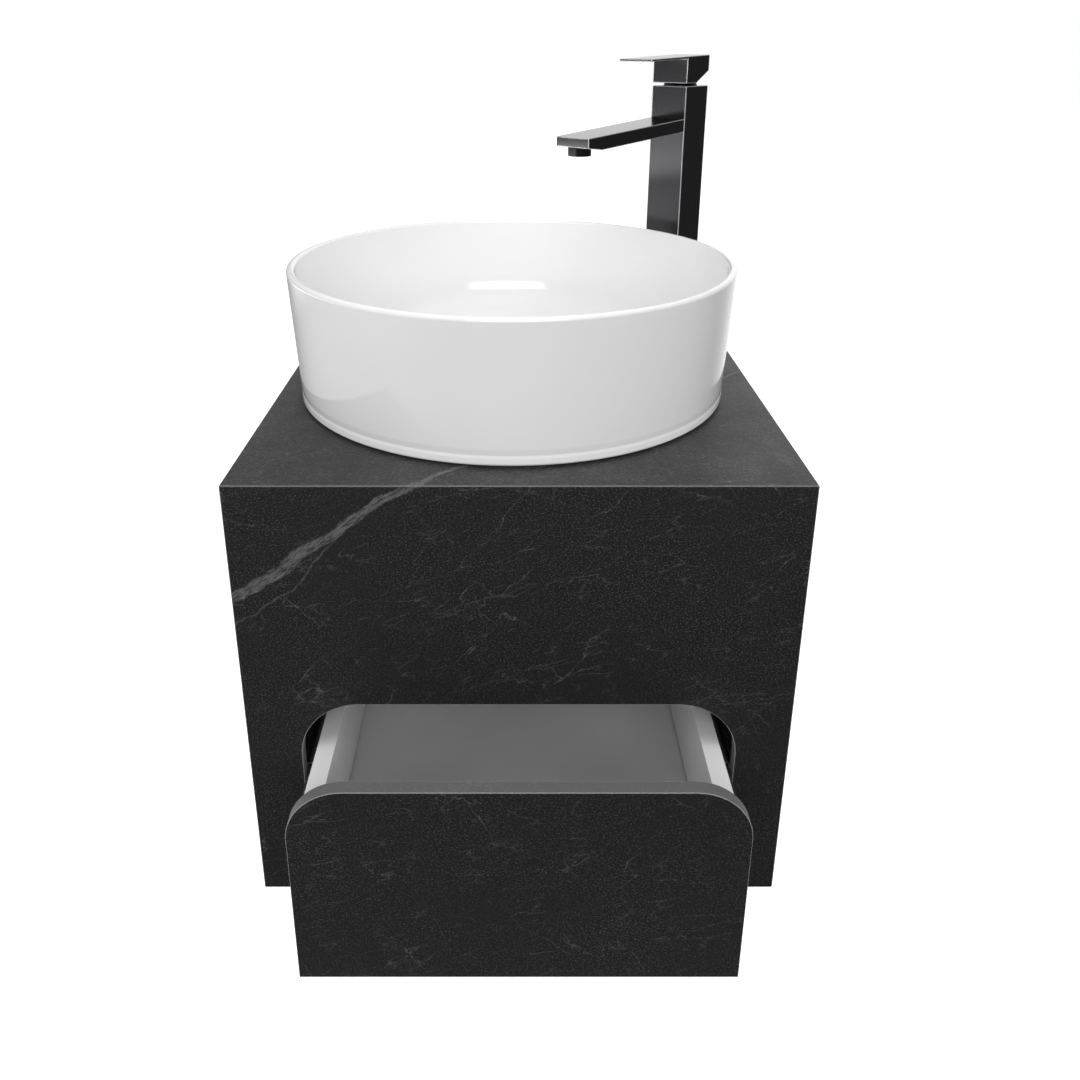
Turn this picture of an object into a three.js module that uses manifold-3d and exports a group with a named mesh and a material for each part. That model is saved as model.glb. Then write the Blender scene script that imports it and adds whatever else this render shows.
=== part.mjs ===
// Wall-hung vanity with a round vessel basin, a tall corner mixer and one handleless drawer.
// Millimetres, +Z up, +X to the right, the front faces -Y. The vanity group's own zero is on the wall plane,
// on the centre line and at the counter's top surface. The root group lifts it, so that the part's origin is
// the middle of the hanging rail's back face.
import * as THREE from "three";
import { mergeVertices } from "three/addons/utils/BufferGeometryUtils.js";
import Module from "manifold-3d";

const wasm = await Module();
wasm.setup();

// ---- Driving dimensions -------------------------------------------------------------------------

const WIDTH = 450;
const DEPTH = 460;
const HEIGHT = 394; // counter's top surface to the cabinet's underside
const BOARD = 12; // stone-look board
const CARCASS = 18; // plywood rails
const FIT = 0.3; // air between pieces that touch
const MITRE_BACKOFF = 0.25; // each mitred edge is cut back this far, which leaves a fine shadow line

const RAIL_HEIGHT = 80;
const LOWER_RAIL_HEIGHT = 60;

const ARCH = { halfWidth: 180.5, top: 198, cornerRadius: 50 };
const FRONT = { halfWidth: 176, top: 208, cornerRadius: 45 };
const DRAWER = { halfWidth: 168.3, top: 242, bottom: 336, length: 350, board: 15, floorTop: 320, floor: 8 };
const DRAWER_OPEN = 86; // how far the drawer stands open at rest
const GROOVE_DEPTH = 5;

const SLIDE = { halfHeight: 22.5, outerFace: 181, sheet: 1.2, centre: 290, length: 348 };

const BASIN = { x: -6, y: -230, seat: 1.5, height: 123, rimRadius: 205.8, footRadius: 200.2, hole: 23 };
const COUNTER_WASTE_HOLE = 23;

const MIXER = { x: 172.5, y: -47, turn: -42, side: 42, height: 268.5, base: 2 };
const COUNTER_MIXER_HOLE = 17.5;
const SPOUT = { top: 236, drop: 8.8, length: 163, rootWidth: 42, tipWidth: 39, height: 13.3, tipHeight: 9 };
const AERATOR = { reach: 170, radius: 11.2, height: 9.2 };
const HANDLE = { gap: 2.9, top: 299.3, leverReach: 84, leverDrop: 3.3, plate: 2.4, tipWidth: 39 };
const TILT_PIVOT = 264; // height of the handle's tilt axis above the counter

const TRAP = { top: 108, outlet: 130, cupBottom: 222 };
const PIPE_RADIUS = 16;

// ---- Finishes -----------------------------------------------------------------------------------

function finish(color, roughness, metalness) {
  return new THREE.MeshStandardMaterial({ color, roughness, metalness });
}

const STONE_BOARD = finish("#2e2e2f", 0.62, 0);
const WHITE_BOARD = finish("#e8e8e6", 0.45, 0);
const PLYWOOD = finish("#b89a6c", 0.7, 0);
const GLAZED_CERAMIC = finish("#f4f4f2", 0.08, 0);
const GUNMETAL = finish("#3b3b3d", 0.32, 1);
const ZINC_STEEL = finish("#b9bcc0", 0.35, 1);
const CHROME = finish("#dfe1e4", 0.08, 1);
const BRASS = finish("#b5934a", 0.3, 1);
const RUBBER = finish("#1b1b1b", 0.85, 0);
const WHITE_PLASTIC = finish("#e9e9e9", 0.4, 0);
const BLACK_PLASTIC = finish("#161617", 0.5, 0);

// ---- Solids -------------------------------------------------------------------------------------

/** The closed geometry as a manifold-3d solid, with its faces turned outwards. */
function toSolid(geometry) {
  const bare = geometry.clone();
  bare.deleteAttribute("normal");
  bare.deleteAttribute("uv");
  const merged = mergeVertices(bare, 1e-4);
  const corners = [];
  for (let i = 0; i < merged.index.count; i += 3) {
    const [a, b, c] = [0, 1, 2].map((k) => merged.index.getX(i + k));
    if (a !== b && b !== c && c !== a) corners.push([a, b, c]);
  }
  const build = (order) =>
    new wasm.Manifold(
      new wasm.Mesh({
        numProp: 3,
        vertProperties: new Float32Array(merged.attributes.position.array),
        triVerts: new Uint32Array(corners.flatMap(order)),
      }),
    );
  const solid = build(([a, b, c]) => [a, b, c]);
  return solid.volume() > 0 ? solid : build(([a, b, c]) => [a, c, b]);
}

/** A manifold-3d solid as a geometry that a mesh can show. */
function toGeometry(solid) {
  const mesh = solid.getMesh();
  const geometry = new THREE.BufferGeometry();
  geometry.setAttribute("position", new THREE.BufferAttribute(mesh.vertProperties, 3));
  geometry.setIndex(new THREE.BufferAttribute(mesh.triVerts, 1));
  geometry.computeVertexNormals();
  return geometry;
}

/** The first solid less all the others. */
function cut(base, ...tools) {
  return toGeometry(tools.reduce((solid, tool) => solid.subtract(toSolid(tool)), toSolid(base)));
}

/** All the solids as one. */
function join(base, ...others) {
  return toGeometry(others.reduce((solid, other) => solid.add(toSolid(other)), toSolid(base)));
}

/** What two solids share. */
function common(base, other) {
  return toGeometry(toSolid(base).intersect(toSolid(other)));
}

/** A box between two corners. */
function block(x0, x1, y0, y1, z0, z1) {
  const box = new THREE.BoxGeometry(x1 - x0, y1 - y0, z1 - z0);
  return box.translate((x0 + x1) / 2, (y0 + y1) / 2, (z0 + z1) / 2);
}

/** An upright cylinder, or a prism with few sides, about the local Z axis. */
function rod(radius, z0, z1, sides = 32) {
  return new THREE.CylinderGeometry(radius, radius, z1 - z0, sides)
    .rotateX(Math.PI / 2)
    .translate(0, 0, (z0 + z1) / 2);
}

/** A solid of revolution about the local Z axis, from a closed list of [radius, height]. */
function turned(profile, sides = 32) {
  const points = [...profile, profile[0]].map(([r, z]) => new THREE.Vector2(r, z));
  return new THREE.LatheGeometry(points, sides).rotateX(Math.PI / 2);
}

/** A ring of rectangular section. */
function ring(inner, outer, z0, z1, sides = 32) {
  return turned([[inner, z0], [outer, z0], [outer, z1], [inner, z1]], sides);
}

/** Points of a circular arc in a profile, angles in degrees. */
function arc(x, y, radius, from, to, steps) {
  return Array.from({ length: steps + 1 }, (_, i) => {
    const angle = THREE.MathUtils.degToRad(from + ((to - from) * i) / steps);
    return [x + radius * Math.cos(angle), y + radius * Math.sin(angle)];
  });
}

const outline = (points) => new THREE.Shape(points.map(([x, y]) => new THREE.Vector2(x, y)));

/** An outline in X and Y, raised from z0 to z1. */
function raised(points, z0, z1) {
  const solid = new THREE.ExtrudeGeometry(outline(points), { depth: z1 - z0, bevelEnabled: false });
  return solid.translate(0, 0, z0);
}

/** An outline in X and Z, run from y0 to y1. */
function runDepth(points, y0, y1) {
  return new THREE.ExtrudeGeometry(outline(points), { depth: y1 - y0, bevelEnabled: false })
    .rotateX(Math.PI / 2)
    .translate(0, y1, 0);
}

/** An outline in Y and Z, run from x0 to x1. */
function runWidth(points, x0, x1) {
  const axes = new THREE.Matrix4().makeBasis(
    new THREE.Vector3(0, 1, 0),
    new THREE.Vector3(0, 0, 1),
    new THREE.Vector3(1, 0, 0),
  );
  return new THREE.ExtrudeGeometry(outline(points), { depth: x1 - x0, bevelEnabled: false })
    .applyMatrix4(axes)
    .translate(x0, 0, 0);
}

/** Mirrors a closed list of [x, z] in the centre line and keeps its turning direction. */
const mirrored = (points) => points.map(([x, z]) => [-x, z]).reverse();

/** Adds a named mesh whose surface is closed and faces outwards. */
function piece(parent, name, geometry, material) {
  const mesh = new THREE.Mesh(toGeometry(toSolid(geometry)), material);
  mesh.name = name;
  parent.add(mesh);
  return mesh;
}

function group(parent, x = 0, y = 0, z = 0) {
  const made = new THREE.Group();
  made.position.set(x, y, z);
  parent.add(made);
  return made;
}

// ---- Cabinet ------------------------------------------------------------------------------------

const halfWidth = WIDTH / 2;
const innerHalf = halfWidth - BOARD;
const innerFront = -DEPTH + BOARD;

/**
 * A board whose outer face has corners (u0, v0)-(u1, v1) and whose inner face is pulled in by the board's
 * thickness on each mitred side. It lies in X and Y with its outer face up at z = 0.
 */
function mitredBoard(u0, u1, v0, v1, mitred) {
  const geometry = new THREE.BoxGeometry(1, 1, 1);
  const position = geometry.getAttribute("position");
  const edges = { u0, u1, v0, v1 };
  const inward = { u0: 1, u1: -1, v0: 1, v1: -1 };
  const place = (side, inner) => {
    const cutBack = mitred.includes(side) ? MITRE_BACKOFF + (inner ? BOARD : 0) : 0;
    return edges[side] + inward[side] * cutBack;
  };
  for (let i = 0; i < position.count; i++) {
    const inner = position.getZ(i) < 0;
    const u = place(position.getX(i) < 0 ? "u0" : "u1", inner);
    const v = place(position.getY(i) < 0 ? "v0" : "v1", inner);
    position.setXYZ(i, u, v, inner ? -BOARD : 0);
  }
  return geometry;
}

/** The outline of the arched opening or of the drawer front: square below, rounded above. */
function archOutline({ halfWidth: half, top, cornerRadius }, bottom) {
  const centreX = half - cornerRadius;
  const centreZ = -top - cornerRadius;
  return [
    [-half, bottom],
    [half, bottom],
    ...arc(centreX, centreZ, cornerRadius, 0, 90, 12),
    ...arc(-centreX, centreZ, cornerRadius, 90, 180, 12),
  ];
}

function addCabinet(vanity) {
  const wasteHole = rod(COUNTER_WASTE_HOLE, -BOARD - 1, 1, 40).translate(BASIN.x, BASIN.y, 0);
  const mixerHole = rod(COUNTER_MIXER_HOLE, -BOARD - 1, 1, 40).translate(MIXER.x, MIXER.y, 0);
  const slab = mitredBoard(-halfWidth, halfWidth, -DEPTH, 0, ["u0", "u1", "v0"]);
  piece(vanity, "counter_top", cut(slab, wasteHole, mixerHole), STONE_BOARD);

  // Face boards are laid out flat, then stood up with the outer face forward or outward.
  const face = mitredBoard(-halfWidth, halfWidth, -HEIGHT, 0, ["u0", "u1", "v1"])
    .rotateX(Math.PI / 2)
    .translate(0, -DEPTH, 0);
  const archCutter = runDepth(archOutline(ARCH, -HEIGHT - 1), -DEPTH - 1, innerFront + 1);
  piece(vanity, "front_panel", cut(face, archCutter), STONE_BOARD);

  const rightSide = mitredBoard(-DEPTH, 0, -HEIGHT, 0, ["u0", "v1"])
    .rotateX(Math.PI / 2)
    .rotateZ(Math.PI / 2)
    .translate(halfWidth, 0, 0);
  const leftSide = mitredBoard(0, DEPTH, -HEIGHT, 0, ["u1", "v1"])
    .rotateX(Math.PI / 2)
    .rotateZ(-Math.PI / 2)
    .translate(-halfWidth, 0, 0);
  piece(vanity, "right_side_panel", rightSide, STONE_BOARD);
  piece(vanity, "left_side_panel", leftSide, STONE_BOARD);

  const inside = innerHalf - FIT;
  const floorFront = innerFront + 2;
  const bottom = block(-inside, inside, floorFront, 0, -HEIGHT, -HEIGHT + BOARD);
  piece(vanity, "bottom_panel", bottom, STONE_BOARD);

  const railTop = -BOARD - FIT;
  piece(vanity, "hanging_rail", block(-inside, inside, -CARCASS, 0, railTop - RAIL_HEIGHT, railTop), PLYWOOD);
  const lowerBottom = -HEIGHT + BOARD + FIT;
  const lowerRail = block(-inside, inside, -CARCASS, 0, lowerBottom, lowerBottom + LOWER_RAIL_HEIGHT);
  piece(vanity, "lower_back_rail", lowerRail, PLYWOOD);

  for (const [side, sign] of [["left", -1], ["right", 1]]) {
    addHanger(vanity, side, sign);
    addCounterBracket(vanity, side, sign);
    addSlidePacker(vanity, side, sign);
  }
}

/** An L-shaped outline with its corner at the origin and legs along +X and +Y. */
const angleOutline = (leg, sheet) => [[0, 0], [leg, 0], [leg, sheet], [sheet, sheet], [sheet, leg], [0, leg]];

/** Moves an outline by (dx, dy) and, on the left side, mirrors it in the centre line. */
function placed(points, dx, dy, sign) {
  const moved = points.map(([x, y]) => [x + dx, y + dy]);
  return sign < 0 ? mirrored(moved) : moved;
}

/** The steel angle in the corner of a side panel and the hanging rail. */
function addHanger(vanity, side, sign) {
  const leg = 46;
  const sheet = 2.5;
  const top = -36;
  const height = 50;
  const corner = angleOutline(leg, sheet).map(([x, y]) => [-x, -y]);
  const points = placed(corner, innerHalf - FIT, -CARCASS - FIT, sign);
  piece(vanity, `wall_hanger_${side}`, raised(points, top - height, top), ZINC_STEEL);
}

/** The steel angle under the counter that ties it to a side panel. */
function addCounterBracket(vanity, side, sign) {
  const leg = 30;
  const sheet = 2;
  const front = -330;
  const length = 40;
  const corner = angleOutline(leg, sheet).map(([x, y]) => [-x, -y]);
  const points = placed(corner, innerHalf - FIT, -BOARD - FIT, sign);
  piece(vanity, `counter_bracket_${side}`, runDepth(points, front, front + length), ZINC_STEEL);
}

/** The batten that brings a drawer slide in line with the arched opening's edge. */
function addSlidePacker(vanity, side, sign) {
  const near = SLIDE.outerFace + FIT;
  const far = innerHalf - FIT;
  const [x0, x1] = sign < 0 ? [-far, -near] : [near, far];
  const halfHeight = 31;
  const length = 370;
  const front = innerFront + FIT;
  const [z0, z1] = [-SLIDE.centre - halfHeight, -SLIDE.centre + halfHeight];
  const batten = block(x0, x1, front, front + length, z0, z1);
  piece(vanity, `slide_packer_${side}`, batten, PLYWOOD);
}

// ---- Drawer and its slides ----------------------------------------------------------------------

/** A C-shaped section in X and Z: the web's face at `web`, the lips reaching to `lips`. */
function channelOutline(web, lips, halfHeight, sheet) {
  const way = Math.sign(lips - web);
  const centre = -SLIDE.centre;
  return [
    [web, centre - halfHeight],
    [lips, centre - halfHeight],
    [lips, centre - halfHeight + sheet],
    [web + way * sheet, centre - halfHeight + sheet],
    [web + way * sheet, centre + halfHeight - sheet],
    [lips, centre + halfHeight - sheet],
    [lips, centre + halfHeight],
    [web, centre + halfHeight],
  ];
}

function addSlides(vanity) {
  const { halfHeight, outerFace, sheet, length } = SLIDE;
  const front = innerFront + FIT;
  const innerFace = DRAWER.halfWidth + FIT;
  const lips = innerFace + 2.6;
  const webAir = 0.6;
  const lipAir = 1.5;
  const nested = sheet + lipAir;
  const members = [
    ["outer", outerFace, lips, halfHeight, 0],
    ["middle", outerFace - sheet - webAir, lips, halfHeight - nested, DRAWER_OPEN / 2],
    ["inner", innerFace, outerFace - 2 * nested, halfHeight - 2 * nested, DRAWER_OPEN],
  ];
  for (const [side, sign] of [["left", -1], ["right", 1]]) {
    for (const [member, web, lipLine, height, travel] of members) {
      const section = placed(channelOutline(web, lipLine, height, sheet), 0, 0, sign);
      const track = group(vanity, 0, -travel, 0);
      piece(track, `slide_${member}_${side}`, runDepth(section, front, front + length), ZINC_STEEL);
    }
  }
}

function addDrawer(vanity) {
  const drawer = group(vanity, 0, -DRAWER_OPEN, 0);
  const frontBack = innerFront + FIT;
  const rear = frontBack + DRAWER.length;
  const inner = DRAWER.halfWidth - DRAWER.board;

  piece(drawer, "drawer_front", runDepth(archOutline(FRONT, -HEIGHT), -DEPTH, innerFront), STONE_BOARD);

  const bracket = { leg: 22, sheet: 2, bottom: -DRAWER.floorTop + 4, top: -DRAWER.top - 30 };
  const grooveTop = -DRAWER.floorTop + FIT;
  const grooveBottom = -DRAWER.floorTop - DRAWER.floor - FIT;
  for (const [side, sign] of [["left", -1], ["right", 1]]) {
    const [x0, x1] = sign < 0 ? [-DRAWER.halfWidth, -inner] : [inner, DRAWER.halfWidth];
    const [g0, g1] = sign < 0 ? [-inner - GROOVE_DEPTH, -inner + 1] : [inner - 1, inner + GROOVE_DEPTH];
    const board = block(x0, x1, frontBack, rear, -DRAWER.bottom, -DRAWER.top);
    const groove = block(g0, g1, frontBack - 1, rear + 1, grooveBottom, grooveTop);
    piece(drawer, `drawer_side_${side}`, cut(board, groove), WHITE_BOARD);

    const corner = angleOutline(bracket.leg, bracket.sheet).map(([x, y]) => [-x, y]);
    const angle = placed(corner, inner - FIT, frontBack, sign);
    piece(drawer, `front_bracket_${side}`, raised(angle, bracket.bottom, bracket.top), ZINC_STEEL);
  }

  const floorHalf = inner + GROOVE_DEPTH - FIT;
  const floorBottom = -DRAWER.floorTop - DRAWER.floor;
  const floor = block(-floorHalf, floorHalf, frontBack, rear, floorBottom, -DRAWER.floorTop);
  piece(drawer, "drawer_bottom", floor, WHITE_BOARD);
  const backHalf = inner - FIT;
  const back = block(-backHalf, backHalf, rear - DRAWER.board, rear, -DRAWER.floorTop + FIT, -DRAWER.top);
  piece(drawer, "drawer_back", back, WHITE_BOARD);
}

// ---- Basin, waste and trap ----------------------------------------------------------------------

/** The basin's closed section, from the foot up the outside, over the rim and down the bowl to the drain. */
function basinSection() {
  const { seat, height, rimRadius, footRadius, hole } = BASIN;
  const footRound = 3.7;
  const rimRound = 3.5;
  const filletRadius = 45;
  const bowlFloor = 17;
  const filletCentre = rimRadius - 2 * rimRound - 2.4 - filletRadius;
  return [
    [hole, seat + 2],
    [footRadius - 18, seat + 2],
    [footRadius - 16, seat],
    ...arc(footRadius - footRound, seat + footRound, footRound, -90, 0, 3),
    [footRadius - 1, 13],
    ...arc(rimRadius - rimRound, height - rimRound, rimRound, 0, 180, 6),
    [filletCentre + filletRadius + 0.6, 88],
    ...arc(filletCentre, bowlFloor + filletRadius, filletRadius, 0, -84, 7),
    [60, bowlFloor - 2],
    [36, bowlFloor - 4.4],
    [34, bowlFloor - 6],
    [hole, bowlFloor - 6],
  ];
}

function addBasin(vanity) {
  const basin = group(vanity, BASIN.x, BASIN.y, 0);
  piece(basin, "basin", turned(basinSection(), 72), GLAZED_CERAMIC);
  piece(basin, "basin_seal_ring", ring(186, 197.5, FIT, BASIN.seat - FIT, 72), RUBBER);
  addWaste(basin);
  addTrap(basin);
}

function addWaste(basin) {
  const ledge = 11; // height of the recess round the drain
  const flange = ledge + 2;
  const body = turned(
    [
      [17, -75], [20.9, -75], [20.9, flange], [32, flange],
      [32, flange + 1.2], [30, flange + 2.5], [19, flange + 1.4], [17, flange],
    ],
    40,
  );
  piece(basin, "waste_body", body, CHROME);
  piece(basin, "waste_upper_gasket", ring(23.4, 31, ledge + FIT, flange - FIT), RUBBER);
  piece(basin, "waste_lower_gasket", ring(21.3, 33, -BOARD - FIT - 3, -BOARD - FIT), RUBBER);
  const lockNut = cut(rod(34, -27, -BOARD - 4, 6), rod(21.3, -28, 0, 32));
  piece(basin, "waste_lock_nut", lockNut, BRASS);

  const guideHub = cut(rod(7, -16, -6, 24), rod(4.4, -20, 0, 24));
  const spokes = [0, 60, 120].map((turn) => {
    const bar = block(-16.4, 16.4, -1.2, 1.2, -14, -9).rotateZ(THREE.MathUtils.degToRad(turn));
    return cut(bar, rod(5.5, -20, 0, 24));
  });
  const guideRim = ring(15, 16.6, -14, -9, 40);
  piece(basin, "plug_guide", join(guideHub, guideRim, ...spokes), BRASS);

  const plug = turned(
    [
      [0, -24], [4, -24], [4, flange + 3.2], [27, flange + 3.2], [29.5, flange + 4], [29.5, flange + 5.2],
      [27, flange + 6.4], [0, flange + 7.2],
    ],
    40,
  );
  piece(basin, "plug", plug, CHROME);
}

function addTrap(basin) {
  const { top, outlet, cupBottom } = TRAP;
  const clear = PIPE_RADIUS + 0.4;
  const bore = PIPE_RADIUS - 1.5;
  const tail = turned([
    [bore, -196], [PIPE_RADIUS, -196], [PIPE_RADIUS, -77.3], [20.4, -77.3], [20.4, -75.3], [bore, -75.3],
  ]);
  piece(basin, "tail_pipe", tail, CHROME);
  const tailNut = turned(
    [[clear, -83], [26, -83], [27, -81], [27, -68], [26, -66], [21.3, -66], [21.3, -78], [clear, -78]],
    24,
  );
  piece(basin, "tail_nut", tailNut, CHROME);

  // The head is a cup open below, with a sleeve for the tail pipe above and a branch towards the wall.
  const head = turned([[0, -top], [20, -top], [28, -top - 8], [28, -152], [0, -152]]);
  const branch = rod(19.5, 0, 50).rotateX(-Math.PI / 2).translate(0, 0, -outlet);
  const branchBore = rod(clear, 0, 51).rotateX(-Math.PI / 2).translate(0, 0, -outlet);
  const chamber = rod(25, -153, -top - 10);
  const sleeveBore = rod(clear, -top - 20, -top + 1);
  piece(basin, "trap_head", cut(join(head, branch), chamber, sleeveBore, branchBore), CHROME);

  const cup = turned([
    [0, -cupBottom], [20, -cupBottom], [26, -cupBottom + 7], [26, -166], [31, -166], [31, -153],
    [24.6, -153], [24.6, -142], [22.2, -142],
    [22.2, -cupBottom + 9], [18, -cupBottom + 4], [0, -cupBottom + 4],
  ]);
  piece(basin, "trap_cup", cup, CHROME);

  const nut = turned(
    [[clear, 52], [clear, 64], [24, 64], [25, 62], [25, 42], [24, 40], [19.9, 40], [19.9, 52]],
    24,
  );
  piece(basin, "outlet_nut", nut.rotateX(-Math.PI / 2).translate(0, 0, -outlet), CHROME);
  const pipe = ring(bore, PIPE_RADIUS, 32, -BASIN.y);
  piece(basin, "outlet_pipe", pipe.rotateX(-Math.PI / 2).translate(0, 0, -outlet), CHROME);
  const rosette = turned([[clear, -9], [18, -9], [34, -2.5], [34, -FIT], [clear, -FIT]], 40)
    .rotateX(-Math.PI / 2)
    .translate(0, -BASIN.y, -outlet);
  piece(basin, "wall_rosette", rosette, CHROME);
}

// ---- Mixer --------------------------------------------------------------------------------------

const mixerHalf = MIXER.side / 2;

/** A square of half-width `half` with its corners taken off by `chamfer`. */
function chamferedSquare(half, chamfer) {
  const inner = half - chamfer;
  return [
    [-inner, -half], [inner, -half], [half, -inner], [half, inner],
    [inner, half], [-inner, half], [-half, inner], [-half, -inner],
  ];
}

function addMixer(vanity) {
  const mixer = group(vanity, MIXER.x, MIXER.y, 0);
  mixer.rotation.z = THREE.MathUtils.degToRad(MIXER.turn);
  addMixerBody(mixer);
  addSpout(mixer);
  addCartridge(mixer);
  addHandle(mixer);
  addMixerFixing(mixer);
}

function addMixerBody(mixer) {
  const column = raised(chamferedSquare(mixerHalf, 0.6), MIXER.base, MIXER.height);
  const shankBore = rod(14.3, 0, 20);
  const riser = block(-17.5, 17.5, -17.5, 17.5, 16, 212);
  const waterPort = rod(6, 205, 230, 20);
  const cartridgeBore = rod(17.8, 225, MIXER.height + 1, 40);
  const spoutPort = rod(4, 15, 23, 20).rotateX(Math.PI / 2).translate(0, 0, 229);
  const hollow = cut(column, shankBore, riser, waterPort, cartridgeBore, spoutPort);
  piece(mixer, "mixer_body", hollow, GUNMETAL);
}

/** The spout reaches towards -Y, narrows and falls a little to its tip, which is bowed in plan. */
function addSpout(mixer) {
  const root = -mixerHalf - FIT;
  const tip = -mixerHalf - SPOUT.length;
  const bow = 2.5;
  const plan = [
    [-SPOUT.rootWidth / 2, root],
    [-SPOUT.tipWidth / 2, tip + bow],
    [-SPOUT.tipWidth / 4, tip + bow / 4],
    [0, tip],
    [SPOUT.tipWidth / 4, tip + bow / 4],
    [SPOUT.tipWidth / 2, tip + bow],
    [SPOUT.rootWidth / 2, root],
  ];
  const fall = SPOUT.drop / SPOUT.length;
  const topAt = (y) => SPOUT.top + fall * (y + mixerHalf);
  const noseStart = tip + 24;
  const side = [
    [root, topAt(root)],
    [tip, topAt(tip)],
    [tip, topAt(tip) - SPOUT.tipHeight],
    [noseStart, topAt(noseStart) - SPOUT.height],
    [root, topAt(root) - SPOUT.height],
  ];
  const half = SPOUT.rootWidth / 2 + 1;
  const solid = common(raised(plan, SPOUT.top - 40, SPOUT.top + 5), runWidth(side, -half, half));
  const channelEnd = -AERATOR.reach - 4;
  const channel = runWidth(
    [
      [root + 1, topAt(root) - 4],
      [channelEnd, topAt(channelEnd) - 3],
      [channelEnd, topAt(channelEnd) - 7],
      [root + 1, topAt(root) - 9.5],
    ],
    -9,
    9,
  );
  const socketTop = topAt(-AERATOR.reach) - SPOUT.tipHeight;
  const mouth = rod(8, socketTop - 1, topAt(channelEnd) - 5, 32).translate(0, -AERATOR.reach, 0);
  const socket = rod(AERATOR.radius + FIT, socketTop - 20, socketTop, 40).translate(0, -AERATOR.reach, 0);
  piece(mixer, "mixer_spout", cut(solid, channel, mouth, socket), GUNMETAL);

  const seat = socketTop - FIT;
  const housing = ring(9, AERATOR.radius, seat - AERATOR.height, seat, 40);
  const insert = cut(rod(8.7, seat - AERATOR.height + 0.8, seat - 2), rod(2.5, seat - 20, seat + 1, 16));
  piece(mixer, "aerator_housing", housing.translate(0, -AERATOR.reach, 0), GUNMETAL);
  piece(mixer, "aerator_insert", insert.translate(0, -AERATOR.reach, 0), BLACK_PLASTIC);
}

function addCartridge(mixer) {
  const seat = 225 + FIT;
  const cartridge = cut(rod(17.4, seat, 255.5, 40), rod(14, 249.5, 260, 40), rod(3, seat - 1, 251, 16));
  piece(mixer, "ceramic_cartridge", cartridge, WHITE_PLASTIC);
  const carrier = cut(rod(13.4, 249.8, 258, 40), block(-3, 3, -6, 6, 255, 260));
  piece(mixer, "cartridge_carrier", carrier, BLACK_PLASTIC);

  // The collar's dome is round the tilt pivot, so the tilting handle keeps its distance from it.
  const dome = arc(0, TILT_PIVOT, 18.3, 15.5, 49, 4);
  const hollowDome = arc(0, TILT_PIVOT, 15.8, 40, 12, 3);
  const collar = turned([[14.8, 256], [17.5, 256], [17.5, MIXER.height + FIT], ...dome, ...hollowDome], 40);
  piece(mixer, "collar_nut", collar, GUNMETAL);
}

function addHandle(mixer) {
  const bottom = MIXER.height + HANDLE.gap;
  const tip = -HANDLE.leverReach;
  const fall = HANDLE.leverDrop / (HANDLE.leverReach + mixerHalf);
  const topAt = (y) => HANDLE.top + fall * (y - mixerHalf);
  const side = [
    [tip, topAt(tip)],
    [tip, topAt(tip) - HANDLE.plate],
    [-mixerHalf, topAt(-mixerHalf) - HANDLE.plate],
    [-mixerHalf, bottom],
    [-2, bottom],
    [mixerHalf, bottom + 12],
    [mixerHalf, topAt(mixerHalf)],
  ];
  const plan = [
    [-HANDLE.tipWidth / 2, tip],
    [HANDLE.tipWidth / 2, tip],
    [mixerHalf, -mixerHalf],
    [mixerHalf, mixerHalf],
    [-mixerHalf, mixerHalf],
    [-mixerHalf, -mixerHalf],
  ];
  const half = mixerHalf + 1;
  const solid = common(raised(plan, bottom - 1, HANDLE.top + 1), runWidth(side, -half, half));
  const stem = { half: 3.5, bottom: 260, top: 292 };
  const screwHeight = 288;
  const pocket = rod(19, bottom - 2, TILT_PIVOT + 19.2, 40);
  const socketHalf = stem.half + 0.4;
  const stemSocket = block(-socketHalf, socketHalf, -socketHalf, socketHalf, bottom, stem.top + 0.6);
  const screwHole = rod(2.6, -half, -3, 16).rotateX(Math.PI / 2).translate(0, 0, screwHeight);
  piece(mixer, "mixer_handle", cut(solid, pocket, stemSocket, screwHole), GUNMETAL);
  const stemBar = block(-stem.half, stem.half, -stem.half, stem.half, stem.bottom, stem.top);
  piece(mixer, "cartridge_stem", stemBar, BRASS);
  const screw = rod(2.2, -mixerHalf + 1.5, -4, 16).rotateX(Math.PI / 2).translate(0, 0, screwHeight);
  piece(mixer, "handle_set_screw", screw, ZINC_STEEL);
}

function addMixerFixing(mixer) {
  const shank = 14;
  const hole = shank + 0.4;
  const gasketHalf = mixerHalf - 0.5;
  const gasket = block(-gasketHalf, gasketHalf, -gasketHalf, gasketHalf, FIT, MIXER.base - FIT);
  piece(mixer, "mixer_base_gasket", cut(gasket, rod(hole, -1, 5)), RUBBER);
  piece(mixer, "mixer_shank", ring(shank - 2.8, shank, -55, 14), BRASS);
  const underside = -BOARD - FIT;
  const slot = block(-hole, hole, 0, 40, -20, 0);
  const washer = cut(rod(26, underside - 3, underside), rod(hole, -20, 0), slot);
  piece(mixer, "horseshoe_washer", washer, ZINC_STEEL);
  piece(mixer, "shank_nut", cut(rod(23, -27, -BOARD - 4, 6), rod(hole, -30, 0)), BRASS);
  for (const [name, x] of [["hot_inlet_nipple", -5.3], ["cold_inlet_nipple", 5.3]]) {
    piece(mixer, name, ring(2.8, 4.8, -80, 12, 20).translate(x, 0, 0), BRASS);
  }
}

// ---- Assembly -----------------------------------------------------------------------------------

const root = new THREE.Group();
const railCentre = BOARD + FIT + RAIL_HEIGHT / 2;
const vanity = group(root, 0, 0, railCentre);
addCabinet(vanity);
addSlides(vanity);
addDrawer(vanity);
addBasin(vanity);
addMixer(vanity);

export default root;
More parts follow.
